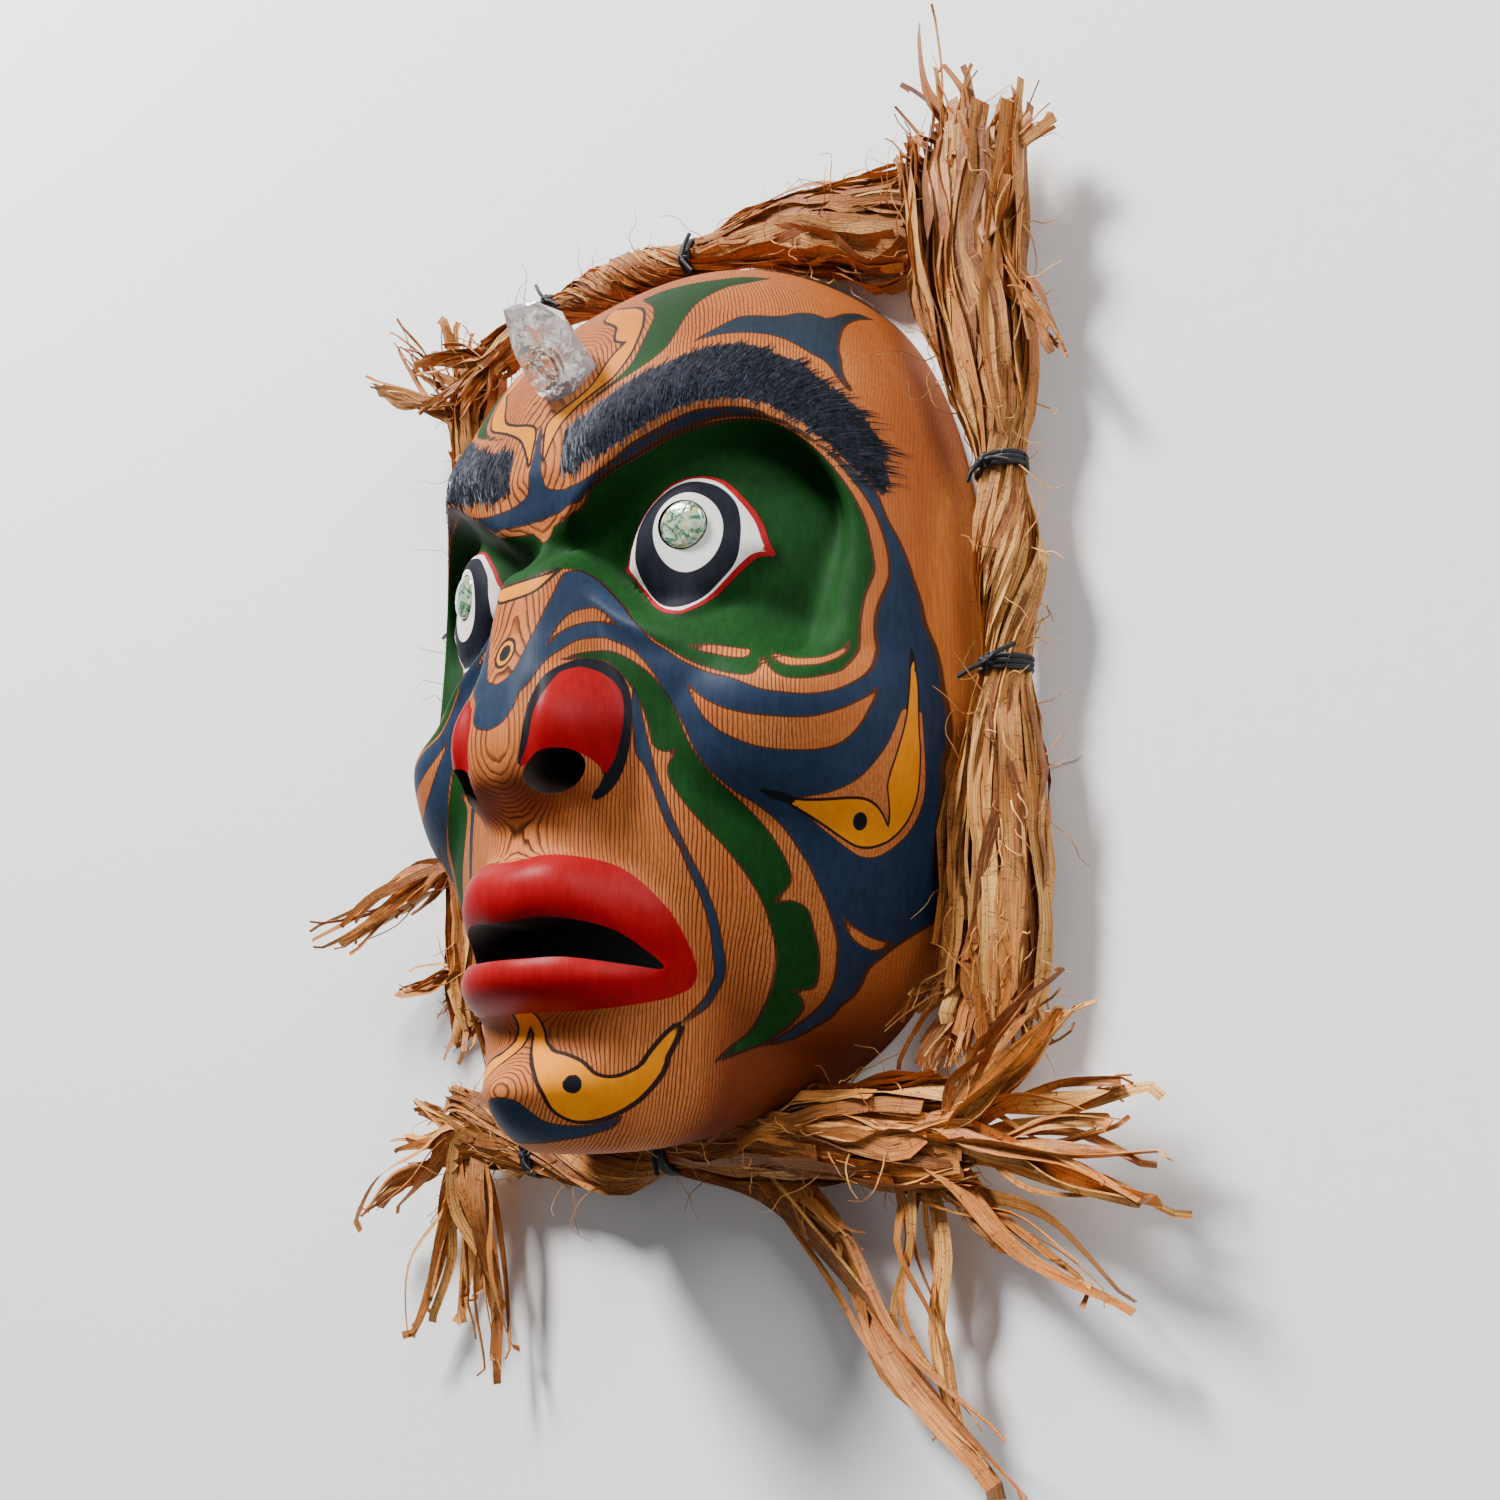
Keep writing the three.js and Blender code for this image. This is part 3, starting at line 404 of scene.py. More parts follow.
class Wire:
    """a node's output; + - * / on it add the math nodes"""

    def __init__(self, nodes, socket):
        self.nodes, self.socket = nodes, socket

    def __add__(self, other):
        return self.nodes.math("ADD", self, other)

    def __sub__(self, other):
        return self.nodes.math("SUBTRACT", self, other)

    def __mul__(self, other):
        return self.nodes.math("MULTIPLY", self, other)

    def __truediv__(self, other):
        return self.nodes.math("DIVIDE", self, other)

    def ramp(self, low, high, to_low=0, to_high=1):
        return self.nodes.add("MapRange", {0: self, 1: low, 2: high, 3: to_low, 4: to_high},
                              interpolation_type="SMOOTHSTEP")


class Nodes:
    """short way to write a node material; colours are wires or screen colours 0..255"""

    def __init__(self, name):
        self.material = bpy.data.materials.new(name)
        self.material.use_nodes = True
        self.tree = self.material.node_tree
        self.tree.nodes.clear()

    def add(self, kind, inputs, output=0, **props):
        node = self.tree.nodes.new("ShaderNode" + kind)
        for key, value in props.items():
            setattr(node, key, value)
        for key, value in inputs.items():
            if isinstance(value, Wire):
                self.tree.links.new(value.socket, node.inputs[key])
            else:
                node.inputs[key].default_value = value
        return Wire(self, node.outputs[output]) if node.outputs else None

    def math(self, operation, a, b=0):
        return self.add("Math", {0: a, 1: b}, operation=operation)

    def mix(self, factor, a, b, blend="MIX"):
        a, b = (v if isinstance(v, Wire) else linear(*v) for v in (a, b))
        return self.add("Mix", {0: factor, 6: a, 7: b}, 2, data_type="RGBA", blend_type=blend)

    def layers(self, colour, *coats):
        """the colour under coats of (cover, colour)"""
        for cover, tone in coats:
            colour = self.mix(cover, colour, tone)
        return colour

    def attribute(self, name, output="Fac"):
        return self.add("Attribute", {}, output, attribute_name=name)

    def place(self, stretch, along=None):
        """position in millimetres, or another vector instead, stretched by one number or three"""
        stretch = np.ones(3) * stretch
        if along is None:
            along = self.add("TexCoord", {}, "Object")
            stretch = 1000 * stretch
        return self.add("VectorMath", {0: along, 1: stretch.tolist()}, operation="MULTIPLY")

    def noise(self, stretch, detail=3, rough=0.5, distortion=0, along=None):
        return self.add("TexNoise", {"Vector": self.place(stretch, along), "Scale": 1,
                                     "Detail": detail, "Roughness": rough,
                                     "Distortion": distortion}, "Fac")

    def finish(self, colour, roughness, height, strength, distance, **inputs):
        """the shader; height, strength and distance are its bump's"""
        normal = self.add("Bump", {"Height": height, "Strength": strength, "Distance": distance})
        inputs.update(Base_Color=colour, Roughness=roughness, Normal=normal)
        inputs = {key.replace("_", " "): value for key, value in inputs.items()}
        self.add("OutputMaterial", {"Surface": self.add("BsdfPrincipled", inputs)})
        return self.material


def cedar_rings(n, spacing):
    """(colour, dark line amount, fibre) of cut cedar; its rings lie round an axis over the nose"""
    place = n.place(1)
    x = n.add("SeparateXYZ", {0: place}, 0) - (SHIFT[0] + HEART_X)
    z = n.add("SeparateXYZ", {0: place}, 2) - HEART_Z
    far = n.math("SQRT", x * x + z * z)
    fine = n.noise((0.08, 0.03, 0.08))
    ring = far + n.noise((0.016, 0.006, 0.016), 2) * 13 + fine * 3.4
    year = n.math("FRACT", ring / spacing)
    late = (year.ramp(0.5, 0.86) * year.ramp(0.99, 0.93) * far.ramp(92, 118, 1, 0.28)
            * fine.ramp(0.3, 0.6, 0.68, 1))
    fibre = n.noise((2.2, 0.07, 2.2), 4, 0.6)
    broad = n.noise((0.03, 0.008, 0.03))
    early = n.mix(fibre.ramp(0.3, 0.72), (174, 94, 44), (208, 130, 72))
    colour = n.layers(early, (broad.ramp(0.4, 0.68, 0, 0.6), (168, 84, 38)),
                      (late * 0.96, (70, 24, 9)))
    return colour, late, fibre


# coats of paint in their order: area, how far inside its edge the coat starts, two tones, and
# the dark line round it: how far it reaches in and out, and its strength
COATS = (("green", 0.1, (10, 47, 14), (18, 68, 22), (0.3, 0.42, 0.85)),
         ("blue", 0.1, (26, 39, 58), (39, 55, 80), (0.25, 0.42, 0.85)),
         ("yellow", 0, (210, 118, 0), (228, 144, 4), (0, 1.05, 0.96)),
         ("black", 0, (10, 11, 15), (26, 28, 36), None),
         ("red", 0, (134, 4, 12), (158, 10, 20), None),
         ("lid", 0, (134, 6, 16), (184, 30, 38), (0, 0.25, 0.8)),
         ("lid", 1.25, (222, 214, 206), (244, 240, 234), None),
         ("iris", 0, (12, 13, 20), (30, 33, 44), None),
         ("white", 0, (232, 228, 222), (250, 248, 244), None))
PAINT_EDGE = 0.12


def painted_cedar():
    n = Nodes("painted_cedar")
    wood, late, fibre = cedar_rings(n, 1.2)
    figure = n.noise((0.1, 0.008, 0.05), 3, 0.5, 0.6)
    tan = n.layers(n.mix(fibre.ramp(0.3, 0.72), (186, 104, 42), (218, 142, 70)),
                   (figure.ramp(0.42, 0.6, 0, 0.4), (166, 82, 28)))
    # over the wood go the side walls' plain tan and a dark brown where "under" is set; the dark
    # brown is painted shade under the nose, below the lower lip and under the jaw, where it is also
    # the wood's darker stain
    colour = n.layers(wood, (n.attribute("side"), tan),
                      (n.attribute("under"), n.mix(fibre, (84, 34, 16), (128, 62, 32))))
    brush = n.noise((0.5, 0.12, 0.5), 4, 0.6)
    wear = n.noise(0.09, 4, 0.55)
    strokes = (brush * 0.6 + wear * 0.4).ramp(0.2, 0.8)
    painted = None
    for name, start, dark, light, line in COATS:
        area = n.attribute(name)
        if line:
            inner, outer, strength = line
            near = (area.ramp(-outer - PAINT_EDGE, -outer + PAINT_EDGE)
                    * area.ramp(inner + PAINT_EDGE, inner - PAINT_EDGE))
            colour = n.mix(near * strength, colour, (26, 18, 20))
        cover = area.ramp(start - PAINT_EDGE, start + PAINT_EDGE)
        colour = n.mix(cover, colour, n.mix(strokes, dark, light))
        painted = n.math("MAXIMUM", painted, cover) if painted else cover
    streak = n.noise((0.9, 0.25, 0.5), 3, 0.6)
    ragged = n.attribute("hair") + streak * 3.6 - 2.2
    under_hair = n.mix(streak.ramp(0.35, 0.65), (10, 12, 18), (34, 40, 54))
    colour = n.mix(ragged.ramp(-0.4, 0.6), colour, under_hair)
    # painted shade: the colour is multiplied darker towards the top of the face
    colour = n.mix(n.attribute("top_shade"), colour, (216, 202, 170), "MULTIPLY")
    rough = (wear * 0.12 + painted.ramp(0, 1, 0.54, 0.48)
             + n.attribute("green").ramp(-0.1, 0.1, 0, 0.12)
             + n.attribute("red").ramp(-0.1, 0.1, 0, -0.12))
    grain = (late * painted.ramp(0, 1, -0.5, -0.1) + fibre * painted.ramp(0, 1, 0.6, 0.25)
             + brush * 0.7)
    return n.finish(colour, rough, grain, 0.35, 0.0003, Specular_IOR_Level=0.09)


def raw_cedar():
    n = Nodes("raw_cedar")
    wood, _, fibre = cedar_rings(n, 2.4)
    cuts = n.add("TexVoronoi", {"Vector": n.place((0.12, 0.06, 0.12)), "Scale": 1}, "Distance",
                 feature="SMOOTH_F1")
    colour = n.mix(0.35, wood, (150, 92, 52))
    return n.finish(colour, 0.72, cuts * 1.4 + fibre * 0.3, 0.5, 0.0008)


def two_tone(name, stretch, detail, rough, span, dark, light, *shader, **inputs):
    """two colours mixed by one noise, which also makes the bump; shader is the roughness and
    the bump's strength and distance"""
    n = Nodes(name)
    noise = n.noise(stretch, detail, rough)
    tone = noise.ramp(*span) if span else noise
    roughness, strength, distance = shader
    return n.finish(n.mix(tone, dark, light), roughness, noise, strength, distance, **inputs)


def veil_material(name, dark, light, painted_glow):
    # painted light: the veils glow a little by emission, so that they show bright inside the
    # crystal
    return two_tone(name, 0.5, 4, 0.6, (0.3, 0.7), dark, light, 0.35, 0.4, 0.0003,
                    Emission_Color=linear(255, 252, 250), Emission_Strength=painted_glow)


def shell_material():
    n = Nodes("polished_shell")
    warp = n.noise((0.09, 0.06, 0.09), 3, 0.55, 2.4)
    bands, glow = (n.math("PINGPONG", warp * k, 1) for k in (9, 5))
    cloud = n.noise((0.22, 0.16, 0.22), 4, 0.6, 1)
    veins = cloud.ramp(0.47, 0.5) * cloud.ramp(0.53, 0.5)
    colour = n.layers(n.mix(bands.ramp(0.1, 0.6), (70, 132, 96), (206, 226, 198)),
                      (glow.ramp(0.62, 0.95, 0, 0.8), (236, 222, 150)),
                      (cloud.ramp(0.52, 0.62, 0, 0.85), (30, 88, 62)),
                      (cloud.ramp(0.34, 0.44, 0.85, 0), (232, 226, 226)),
                      (veins * 0.45, (22, 46, 36)))
    return n.finish(colour, 0.16, warp + cloud * 0.4, 0.5, 0.0012, Metallic=0.25, Coat_Weight=1,
                    Coat_Roughness=0.04)


def quartz_material():
    n = Nodes("clear_quartz")
    marks = n.noise(0.35, 4, 0.6)
    return n.finish(linear(254, 251, 250), 0.04, marks, 0.25, 0.0007, IOR=1.5,
                    Transmission_Weight=0.8)


def bark_material():
    n = Nodes("cedar_bark")
    along, tone = n.attribute("fibre", "Vector"), n.attribute("tone")
    streak, strands, patch, scars, cracks = (
        n.noise(stretch, detail, rough, 0, along) for stretch, detail, rough in (
            ((2.2, 0.04, 1), 4, 0.65), ((6, 0.09, 1), 3, 0.6), ((0.25, 0.05, 1), 3, 0.5),
            ((0.3, 0.45, 1), 3, 0.6), ((0.1, 0.5, 1), 2, 0.5)))
    line = cracks.ramp(0.585, 0.6) * cracks.ramp(0.615, 0.6)
    colour = n.layers(n.mix(tone.ramp(0, 0.55), (116, 57, 16), (202, 122, 48)),
                      (tone.ramp(0.5, 1), (242, 182, 98)),
                      (streak.ramp(0.38, 0.6, 0.8, 0), (112, 58, 22)),
                      (strands.ramp(0.5, 0.7, 0, 0.55), (240, 186, 112)),
                      (patch.ramp(0.5, 0.72, 0, 0.55), (198, 108, 40)),
                      (scars.ramp(0.6, 0.72, 0, 0.6), (78, 38, 16)),
                      (line * 0.8, (58, 28, 12)))
    return n.finish(colour, 0.62, streak * 0.8 + strands * 0.5 - line * 0.6, 0.7, 0.0007,
                    Specular_IOR_Level=0.35)


def cord_material():
    n = Nodes("waxed_cord")
    along = n.place((1.2, 1.6, 0), n.attribute("fibre", "Vector"))
    ply = n.add("TexWave", {"Vector": along, "Scale": 1, "Distortion": 0.6}, "Fac",
                bands_direction="DIAGONAL")
    return n.finish(n.mix(n.noise(2), (10, 10, 12), (38, 38, 42)), 0.45, ply, 0.5, 0.0004)


def mesh_object(name, points, faces, materials, slots=None, smooth_faces=True):
    mesh = bpy.data.meshes.new(name)
    mesh.from_pydata(to_frame(points).tolist(), [], [list(map(int, f)) for f in faces])
    for material in materials:
        mesh.materials.append(material)
    if slots is not None:
        mesh.polygons.foreach_set("material_index", np.asarray(slots, np.int32))
    mesh.polygons.foreach_set("use_smooth", [smooth_faces] * len(mesh.polygons))
    mesh.update()
    obj = bpy.data.objects.new(name, mesh)
    scene.collection.objects.link(obj)
    return obj


def put_attribute(mesh, name, values, kind="FLOAT"):
    layer = mesh.attributes.new(name, kind, "POINT")
    layer.data.foreach_set("value" if kind == "FLOAT" else "vector",
                           np.ascontiguousarray(values, np.float32).ravel())


def piece(obj, slot, *nodes):
    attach(obj, "root")
    if nodes:
        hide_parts(*nodes)


def grid_faces(cells):
    """faces of a square grid of points"""
    n = cells + 1
    a = (np.arange(cells)[:, None] * n + np.arange(cells)).ravel()
    return np.stack([a, a + 1, a + n + 1, a + n], 1).tolist()


def tube_faces(levels, around, base=0):
    """faces of a tube through rings of points, with its lower and its upper cap last"""
    i = np.arange(levels - 1)[:, None] * around + base
    j = np.arange(around)
    ahead = (j + 1) % around
    quads = np.stack([i + j, i + ahead, i + around + ahead, i + around + j], -1).reshape(-1, 4)
    low, high = base + j[::-1], base + (levels - 1) * around + j
    return quads.tolist() + [low.tolist(), high.tolist()]


def distance_along(points):
    steps = np.linalg.norm(np.diff(points, axis=0), axis=1)
    return np.concatenate([[0], np.cumsum(steps)])


def circle(sides):
    return [(math.cos(a), math.sin(a)) for a in np.arange(sides) / sides * TURN]


class Batch:
    """many small closed strands gathered into one mesh"""

    def __init__(self):
        self.points, self.faces, self.fibre, self.tone = [], [], [], []
        self.count = 0

    def strand(self, path, section, tone, seed):
        """a closed strand along strand_path's path; its section is a ring of (across, up)"""
        centre, across, up, wide, high = path
        ring = np.array(section, float)
        m, k = len(centre), len(ring)
        p = (centre[:, None] + across[:, None] * (ring[None, :, :1] * wide[:, None, None])
             + up[:, None] * (ring[None, :, 1:] * high[:, None, None]))
        fibre = np.zeros((m, k, 3))
        fibre[..., 0] = ring[None, :, 0] * wide[:, None] + 37 * seed
        fibre[..., 1] = distance_along(centre)[:, None] + 91 * seed
        fibre[..., 2] = 5 * seed
        self.faces += tube_faces(m, k, self.count)
        self.points.append(p.reshape(-1, 3))
        self.fibre.append(fibre.reshape(-1, 3))
        self.tone.append(np.full(m * k, tone))
        self.count += m * k

    def build(self, name, material):
        points = np.concatenate(self.points)
        points[:, 2] = np.maximum(points[:, 2], 0.4)
        obj = mesh_object(name, points, self.faces, [material])
        put_attribute(obj.data, "fibre", np.concatenate(self.fibre), "FLOAT_VECTOR")
        put_attribute(obj.data, "tone", np.concatenate(self.tone))
        obj.data.set_sharp_from_angle(angle=math.radians(50))
        return obj


def extended(points):
    """the points with one more before and after"""
    return np.vstack([2 * points[0] - points[1], points, 2 * points[-1] - points[-2]])


def spline(points, count):
    """count points evenly along a smooth curve through the given ones"""
    p = np.asarray(points, float)
    q = extended(p)
    dense = [between(*q[i:i + 4], t) for i in range(len(p) - 1) for t in np.arange(8) / 8]
    dense = np.array(dense + [p[-1]])
    run = distance_along(dense)
    want = np.linspace(0, run[-1], count)
    return np.stack([np.interp(want, run, column) for column in dense.T], 1)


def strand_path(points, count, wide, high, turn=0.0, twist=0.0):
    """smooth path with its across and up directions; wide and high may be functions of 0..1"""
    c = spline(points, count)
    along = unit(np.gradient(c, axis=0))
    flat = unit(np.cross((0, 0, 1), along))
    over = np.cross(along, flat)
    u = np.linspace(0, 1, count)
    a = (np.interp(u, np.linspace(0, 1, np.size(turn)), np.ravel(turn)) + twist * u)[:, None]
    across = flat * np.cos(a) + over * np.sin(a)
    up = over * np.cos(a) - flat * np.sin(a)
    wide, high = (v(u) if callable(v) else np.full(count, float(v)) for v in (wide, high))
    return c, across, up, wide, high


# The mask: shell, openings, brow strokes and paint.
outer = face_grid(OUTER_CELLS, 0, 2)
inner = face_grid(INNER_CELLS, WALL, 1)
surface = BVHTree.FromPolygons(outer.reshape(-1, 3).tolist(), grid_faces(OUTER_CELLS))


def on_face(x, y):
    """(point, normal) of the carved face above x, y"""
    hit, normal, _, _ = surface.ray_cast(Vector((x, y, 300)), Vector((0, 0, -1)))
    if hit is None:
        hit, normal, _, _ = surface.find_nearest(Vector((x, y, 0)))
    normal = np.array(normal)
    return np.array(hit), normal if normal[2] > 0 else -normal


def border(cells):
    """indices round the edge of a grid, anticlockwise"""
    i, n = np.arange(cells), cells + 1
    return np.concatenate([i, i * n + cells, cells * n + cells - i, (cells - i) * n])


def mask_shell():
    """the mask before its openings: outer face, hollow and the flat rim between them"""
    points = np.concatenate([outer.reshape(-1, 3), inner.reshape(-1, 3)])
    faces = grid_faces(OUTER_CELLS)
    painted = len(faces)
    base = (OUTER_CELLS + 1) ** 2
    faces += [[base + v for v in reversed(f)] for f in grid_faces(INNER_CELLS)]
    far, near = border(OUTER_CELLS), border(INNER_CELLS) + base
    each = OUTER_CELLS // INNER_CELLS
    for k in range(len(near)):
        a, b = near[k], near[(k + 1) % len(near)]
        for e in range(each):
            p, q = far[each * k + e], far[(each * k + e + 1) % len(far)]
            faces.append((q, p, a if e < each // 2 else b))
        faces.append((far[each * k + each // 2], a, b))
    return points, faces, [PAINTED] * painted + [RAW] * (len(faces) - painted)


def turned(points, centre, direction):
    """points built along +Z, turned to the direction and moved to the centre"""
    turn = Vector((0, 0, 1)).rotation_difference(Vector(direction)).to_matrix()
    return np.array(points) @ np.array(turn).T + np.array(centre, float)


def lathe(rings, sides, stretch=1):
    """(points, faces) of a solid turned round Z; rings are (radius, height)"""
    points = [(r * stretch * x, r * y, h) for r, h in rings for x, y in circle(sides)]
    return points, tube_faces(len(rings), sides)


EYE_Z = on_face(EYE_X, 0)[0][2]
EYE_AXES = {side: (np.array([EYE_X * side, 0, EYE_Z + EYE_LIFT]),
                   unit((0.28, -0.06, 1)) * (side, 1, 1)) for side in (1, -1)}
CRYSTAL_LEAN = unit((0.22, 0.42, 0.88))
CRYSTAL_RINGS = [(0, 9.5, 8), (8, 13.5, 10.5), (23, 12.5, 10), (35, 7, 1.6)]
CRYSTAL_TIP = 35.8
crystal_foot = on_face(7, 61)[0] - 5 * CRYSTAL_LEAN


def crystal_points(grow):
    """(points, faces) of the crystal along +Z, grown all round"""
    points = [(0, 0, -grow)]
    more = grow * 1.3
    for h, wide, deep in CRYSTAL_RINGS:
        for x, y in circle(6):
            slope = 2.5 * x if 10 < h < 30 else 0
            points.append(((wide + more) * x, (deep + more) * y, (h or -grow) + slope))
    points.append((0, 0, CRYSTAL_TIP + grow))
    faces = tube_faces(4, 6, 1)[:-2]
    for k in range(6):
        m = (k + 1) % 6
        faces += [(0, 1 + m, 1 + k), (19 + k, 19 + m, 25)]
    return points, faces


PAINTED, RAW, CUT, HAIR = range(4)
MATERIALS = [painted_cedar(), raw_cedar(),
             two_tone("cut_cedar", (0.6, 0.6, 0.08), 4, 0.6, None, (20, 12, 9), (52, 26, 17),
                      0.6, 0.3, 0.0004),
             # the brow strokes: blue-black paint flecked with a lighter grey, which is partly the
             # paint's own tone and partly painted sheen
             two_tone("brow_strokes", 0.8, 3, 0.6, (0.3, 0.7), (9, 11, 17),
                      (74, 81, 96), 0.3, 0.3, 0.0002)]
shell_points, shell_faces, shell_slots = mask_shell()
mask = mesh_object("mask_face", shell_points, shell_faces, MATERIALS, shell_slots)

# openings for the mouth, the nostrils, the shells and the crystal's seat
NOSTRIL_RINGS, NOSTRIL_STRETCH, NOSTRIL_LEAN = [(7.5, -35), (5, 35)], 1.15, unit((0, 0.5, -0.87))
SEAT_RINGS = [(SHELL_RADIUS + SHELL_GAP, -6), (SHELL_RADIUS + SHELL_GAP, 6)]
mouth = [(x, y, z) for z in (-20, 180) for x, y in MOUTH[::-1]]
openings = [(mouth, tube_faces(2, len(MOUTH)))]
for side, (centre, facing) in EYE_AXES.items():
    points, faces = lathe(NOSTRIL_RINGS, 40, NOSTRIL_STRETCH)
    openings.append((turned(points, (20 * side, -64, 75), NOSTRIL_LEAN), faces))
    points, faces = lathe(SEAT_RINGS, 48)
    openings.append((turned(points, centre, facing), faces))
points, faces = crystal_points(CRYSTAL_GAP)
openings.append((turned(points, crystal_foot, CRYSTAL_LEAN), faces))
cut_points, cut_faces = [], []
for points, faces in openings:
    cut_faces += [[v + len(cut_points) for v in f] for f in faces]
    cut_points += np.asarray(points, float).tolist()
cutter = mesh_object("cutter", cut_points, cut_faces, MATERIALS, [CUT] * len(cut_faces), False)
cut = mask.modifiers.new("cut", "BOOLEAN")
cut.operation, cut.solver, cut.object = "DIFFERENCE", "EXACT", cutter
bpy.context.view_layer.update()
graph = bpy.context.evaluated_depsgraph_get()
opened = bpy.data.meshes.new_from_object(mask.evaluated_get(graph))
mask.modifiers.clear()
mask.data = opened
bpy.data.objects.remove(cutter)

# raised brow strokes, joined to the face
STROKE_LEAN = [(10, 92), (40, 88), (60, 82), (74, 66), (84, 48), (94, 26), (103, 4)]
STROKE_SWELL = np.array([0.3, 1.0, 0.9, 0.12])
STROKE_SECTION = [(-1, -0.5), (1, -0.5), (0, 1)]
strokes = Batch()
brow_loop = shape(BROW_HAIR)
made = 0
while made < BROW_STROKES:
    sx, sy = rng.uniform(10, 104), rng.uniform(5, 63)
    if inset(sx, sy, brow_loop) < 0.2:
        continue
    made += 1
    for side in (1, -1):
        lean = math.radians(profile(sx, STROKE_LEAN) + rng.normal(0, 7))
        length = rng.uniform(4.0, 8.0)
        step = np.array([math.cos(lean), math.sin(lean)]) * length
        bend = np.array([-step[1], step[0]]) * rng.normal(0, 0.05)
        places = [(sx, sy) + step * u + bend * (4 * u * u) for u in np.linspace(-0.5, 0.5, 4)]
        hits, normals = (np.array(v) for v in zip(*(on_face(x * side, y) for x, y in places)))
        hits = hits + normals * 0.02
        across = unit(np.cross(normals, unit(np.gradient(hits, axis=0))))
        wide = STROKE_SWELL * rng.uniform(0.26, 0.42)
        high = STROKE_SWELL * rng.uniform(0.3, 0.5)
        strokes.strand((hits, across, normals, wide, high), STROKE_SECTION, 0, 0)
extra = mesh_object("extra", np.concatenate(strokes.points), strokes.faces, MATERIALS,
                    [HAIR] * len(strokes.faces))
with bpy.context.temp_override(active_object=mask, selected_editable_objects=[mask, extra]):
    bpy.ops.object.join()

mesh = mask.data
where = np.zeros(len(mesh.vertices) * 3, np.float32)
mesh.vertices.foreach_get("co", where)
x, y, z = (where.reshape(-1, 3) * 1000.0 - SHIFT).T
ax = np.abs(x)
for key, values in paint_distances(x, y, z).items():
    put_attribute(mesh, key, values)
# painted shade over the top of the face: 0 below y 38, rising to 1 at y 84
put_attribute(mesh, "top_shade", smooth(38, 84, y))
put_attribute(mesh, "side", smooth(107, 109.5, ax))
# painted shade under the jaw (there also the wood's darker stain), below the lower lip and under
# the nose
put_attribute(mesh, "under", np.maximum.reduce([
    smooth(-130, -158, y) * smooth(62, 46, z), 0.55 * mound(x, y, 0, -148, 54, 15),
    0.75 * mound(ax, y, 13, -81, 19, 9)]))
mesh.set_sharp_from_angle(angle=math.radians(38))
piece(mask, "cedar", "carved_mask")

# shell inlays, slightly domed
SHELL_SIDES = 64
SHELL_RINGS = [(SHELL_RADIUS, -1.2), (SHELL_RADIUS, 0.9), (SHELL_RADIUS - 0.35, 1.35),
               (SHELL_RADIUS * 0.82, 1.75), (SHELL_RADIUS * 0.6, 2.1), (SHELL_RADIUS * 0.3, 2.4)]
shell = shell_material()
for side, label in ((1, "right"), (-1, "left")):
    points, faces = lathe(SHELL_RINGS, SHELL_SIDES)
    last = faces.pop()
    faces += [(a, b, len(points)) for a, b in zip(last, last[1:] + last[:1])]
    centre, facing = EYE_AXES[side]
    points = turned(points + [(0, 0, 2.5)], centre - 5 * facing, facing)
    obj = mesh_object(f"eye_shell_{label}", points, faces, [shell])
    obj.data.set_sharp_from_angle(angle=math.radians(40))
    piece(obj, "shell", f"shell_inlay_{label}")

# quartz crystal, with veils, stains and a brown loop sealed in it
points, faces = crystal_points(0)
points = np.array(points, float)
points[1:25, :2] *= rng.uniform(0.95, 1.02, (24, 1))
crystal = mesh_object("crystal", turned(points, crystal_foot, CRYSTAL_LEAN), faces,
                      [quartz_material()], smooth_faces=False)
piece(crystal, "quartz", "quartz_crystal")
DIAMOND = [(-1, 0), (0, -1), (1, 0), (0, 1)]
veils, stains, phantom = Batch(), Batch(), Batch()


def sealed(batch, at, way, wide, high, seed):
    """a thin lens-shaped flake inside the crystal"""
    path = strand_path([at - way, at, at + way + rng.normal(0, 0.5, 3)], 5,
                       lambda u: 0.1 + wide * np.sin(math.pi * u),
                       lambda u: 0.04 + high * np.sin(math.pi * u), rng.uniform(0, 3))
    batch.strand(path, DIAMOND, 0.5, seed)


for k in range(VEILS):
    level = rng.uniform(3, 31)
    room = 1.0 if level < 25 else (36 - level) / 11
    angle = rng.uniform(0, TURN)
    reach = math.sqrt(rng.uniform(0.1, 1.0)) * room
    at = np.array([8.6 * reach * math.cos(angle), 6.6 * reach * math.sin(angle), level])
    way = unit(rng.normal(0, 1, 3)) * rng.uniform(0.6, 2.6)
    sealed(veils, at, way, rng.uniform(0.2, 1.3), 0.08, k)
for k in range(STAINS):
    at = np.array([rng.uniform(-6.5, 0.5), rng.uniform(-5.0, 2.0), rng.uniform(15, 28)])
    way = unit(rng.normal(0, 1, 3)) * rng.uniform(0.8, 2.0)
    sealed(stains, at, way, rng.uniform(0.6, 1.5), 0.3, k)
for k in range(PHANTOMS):
    size = 1 - 0.14 * k
    loop = [(3.4 * math.cos(a) * size, -3.5 + 0.9 * k + 0.8 * math.sin(2 * a),
             14.5 + 6.4 * math.sin(a) * size) for a in np.linspace(0.4 * k, 6.0 + 0.4 * k, 14)]
    path = strand_path(loop, 60, lambda u: 0.34 + 0.2 * np.sin(23 * u), 0.16, k)
    phantom.strand(path, DIAMOND, 0.5, k)
# each batch of inclusions: its name, its two tones and the strength of its painted glow
for batch, name, dark, light, painted_glow in (
        (veils, "crystal_veils", (226, 222, 222), (255, 254, 254), 0.22),
        (stains, "crystal_stains", (176, 104, 22), (240, 178, 66), 0),
        (phantom, "crystal_phantom", (92, 74, 60), (150, 130, 112), 0)):
    batch.points = [turned(p, crystal_foot, CRYSTAL_LEAN) for p in batch.points]
    piece(batch.build(name, veil_material(name, dark, light, painted_glow)), "quartz")

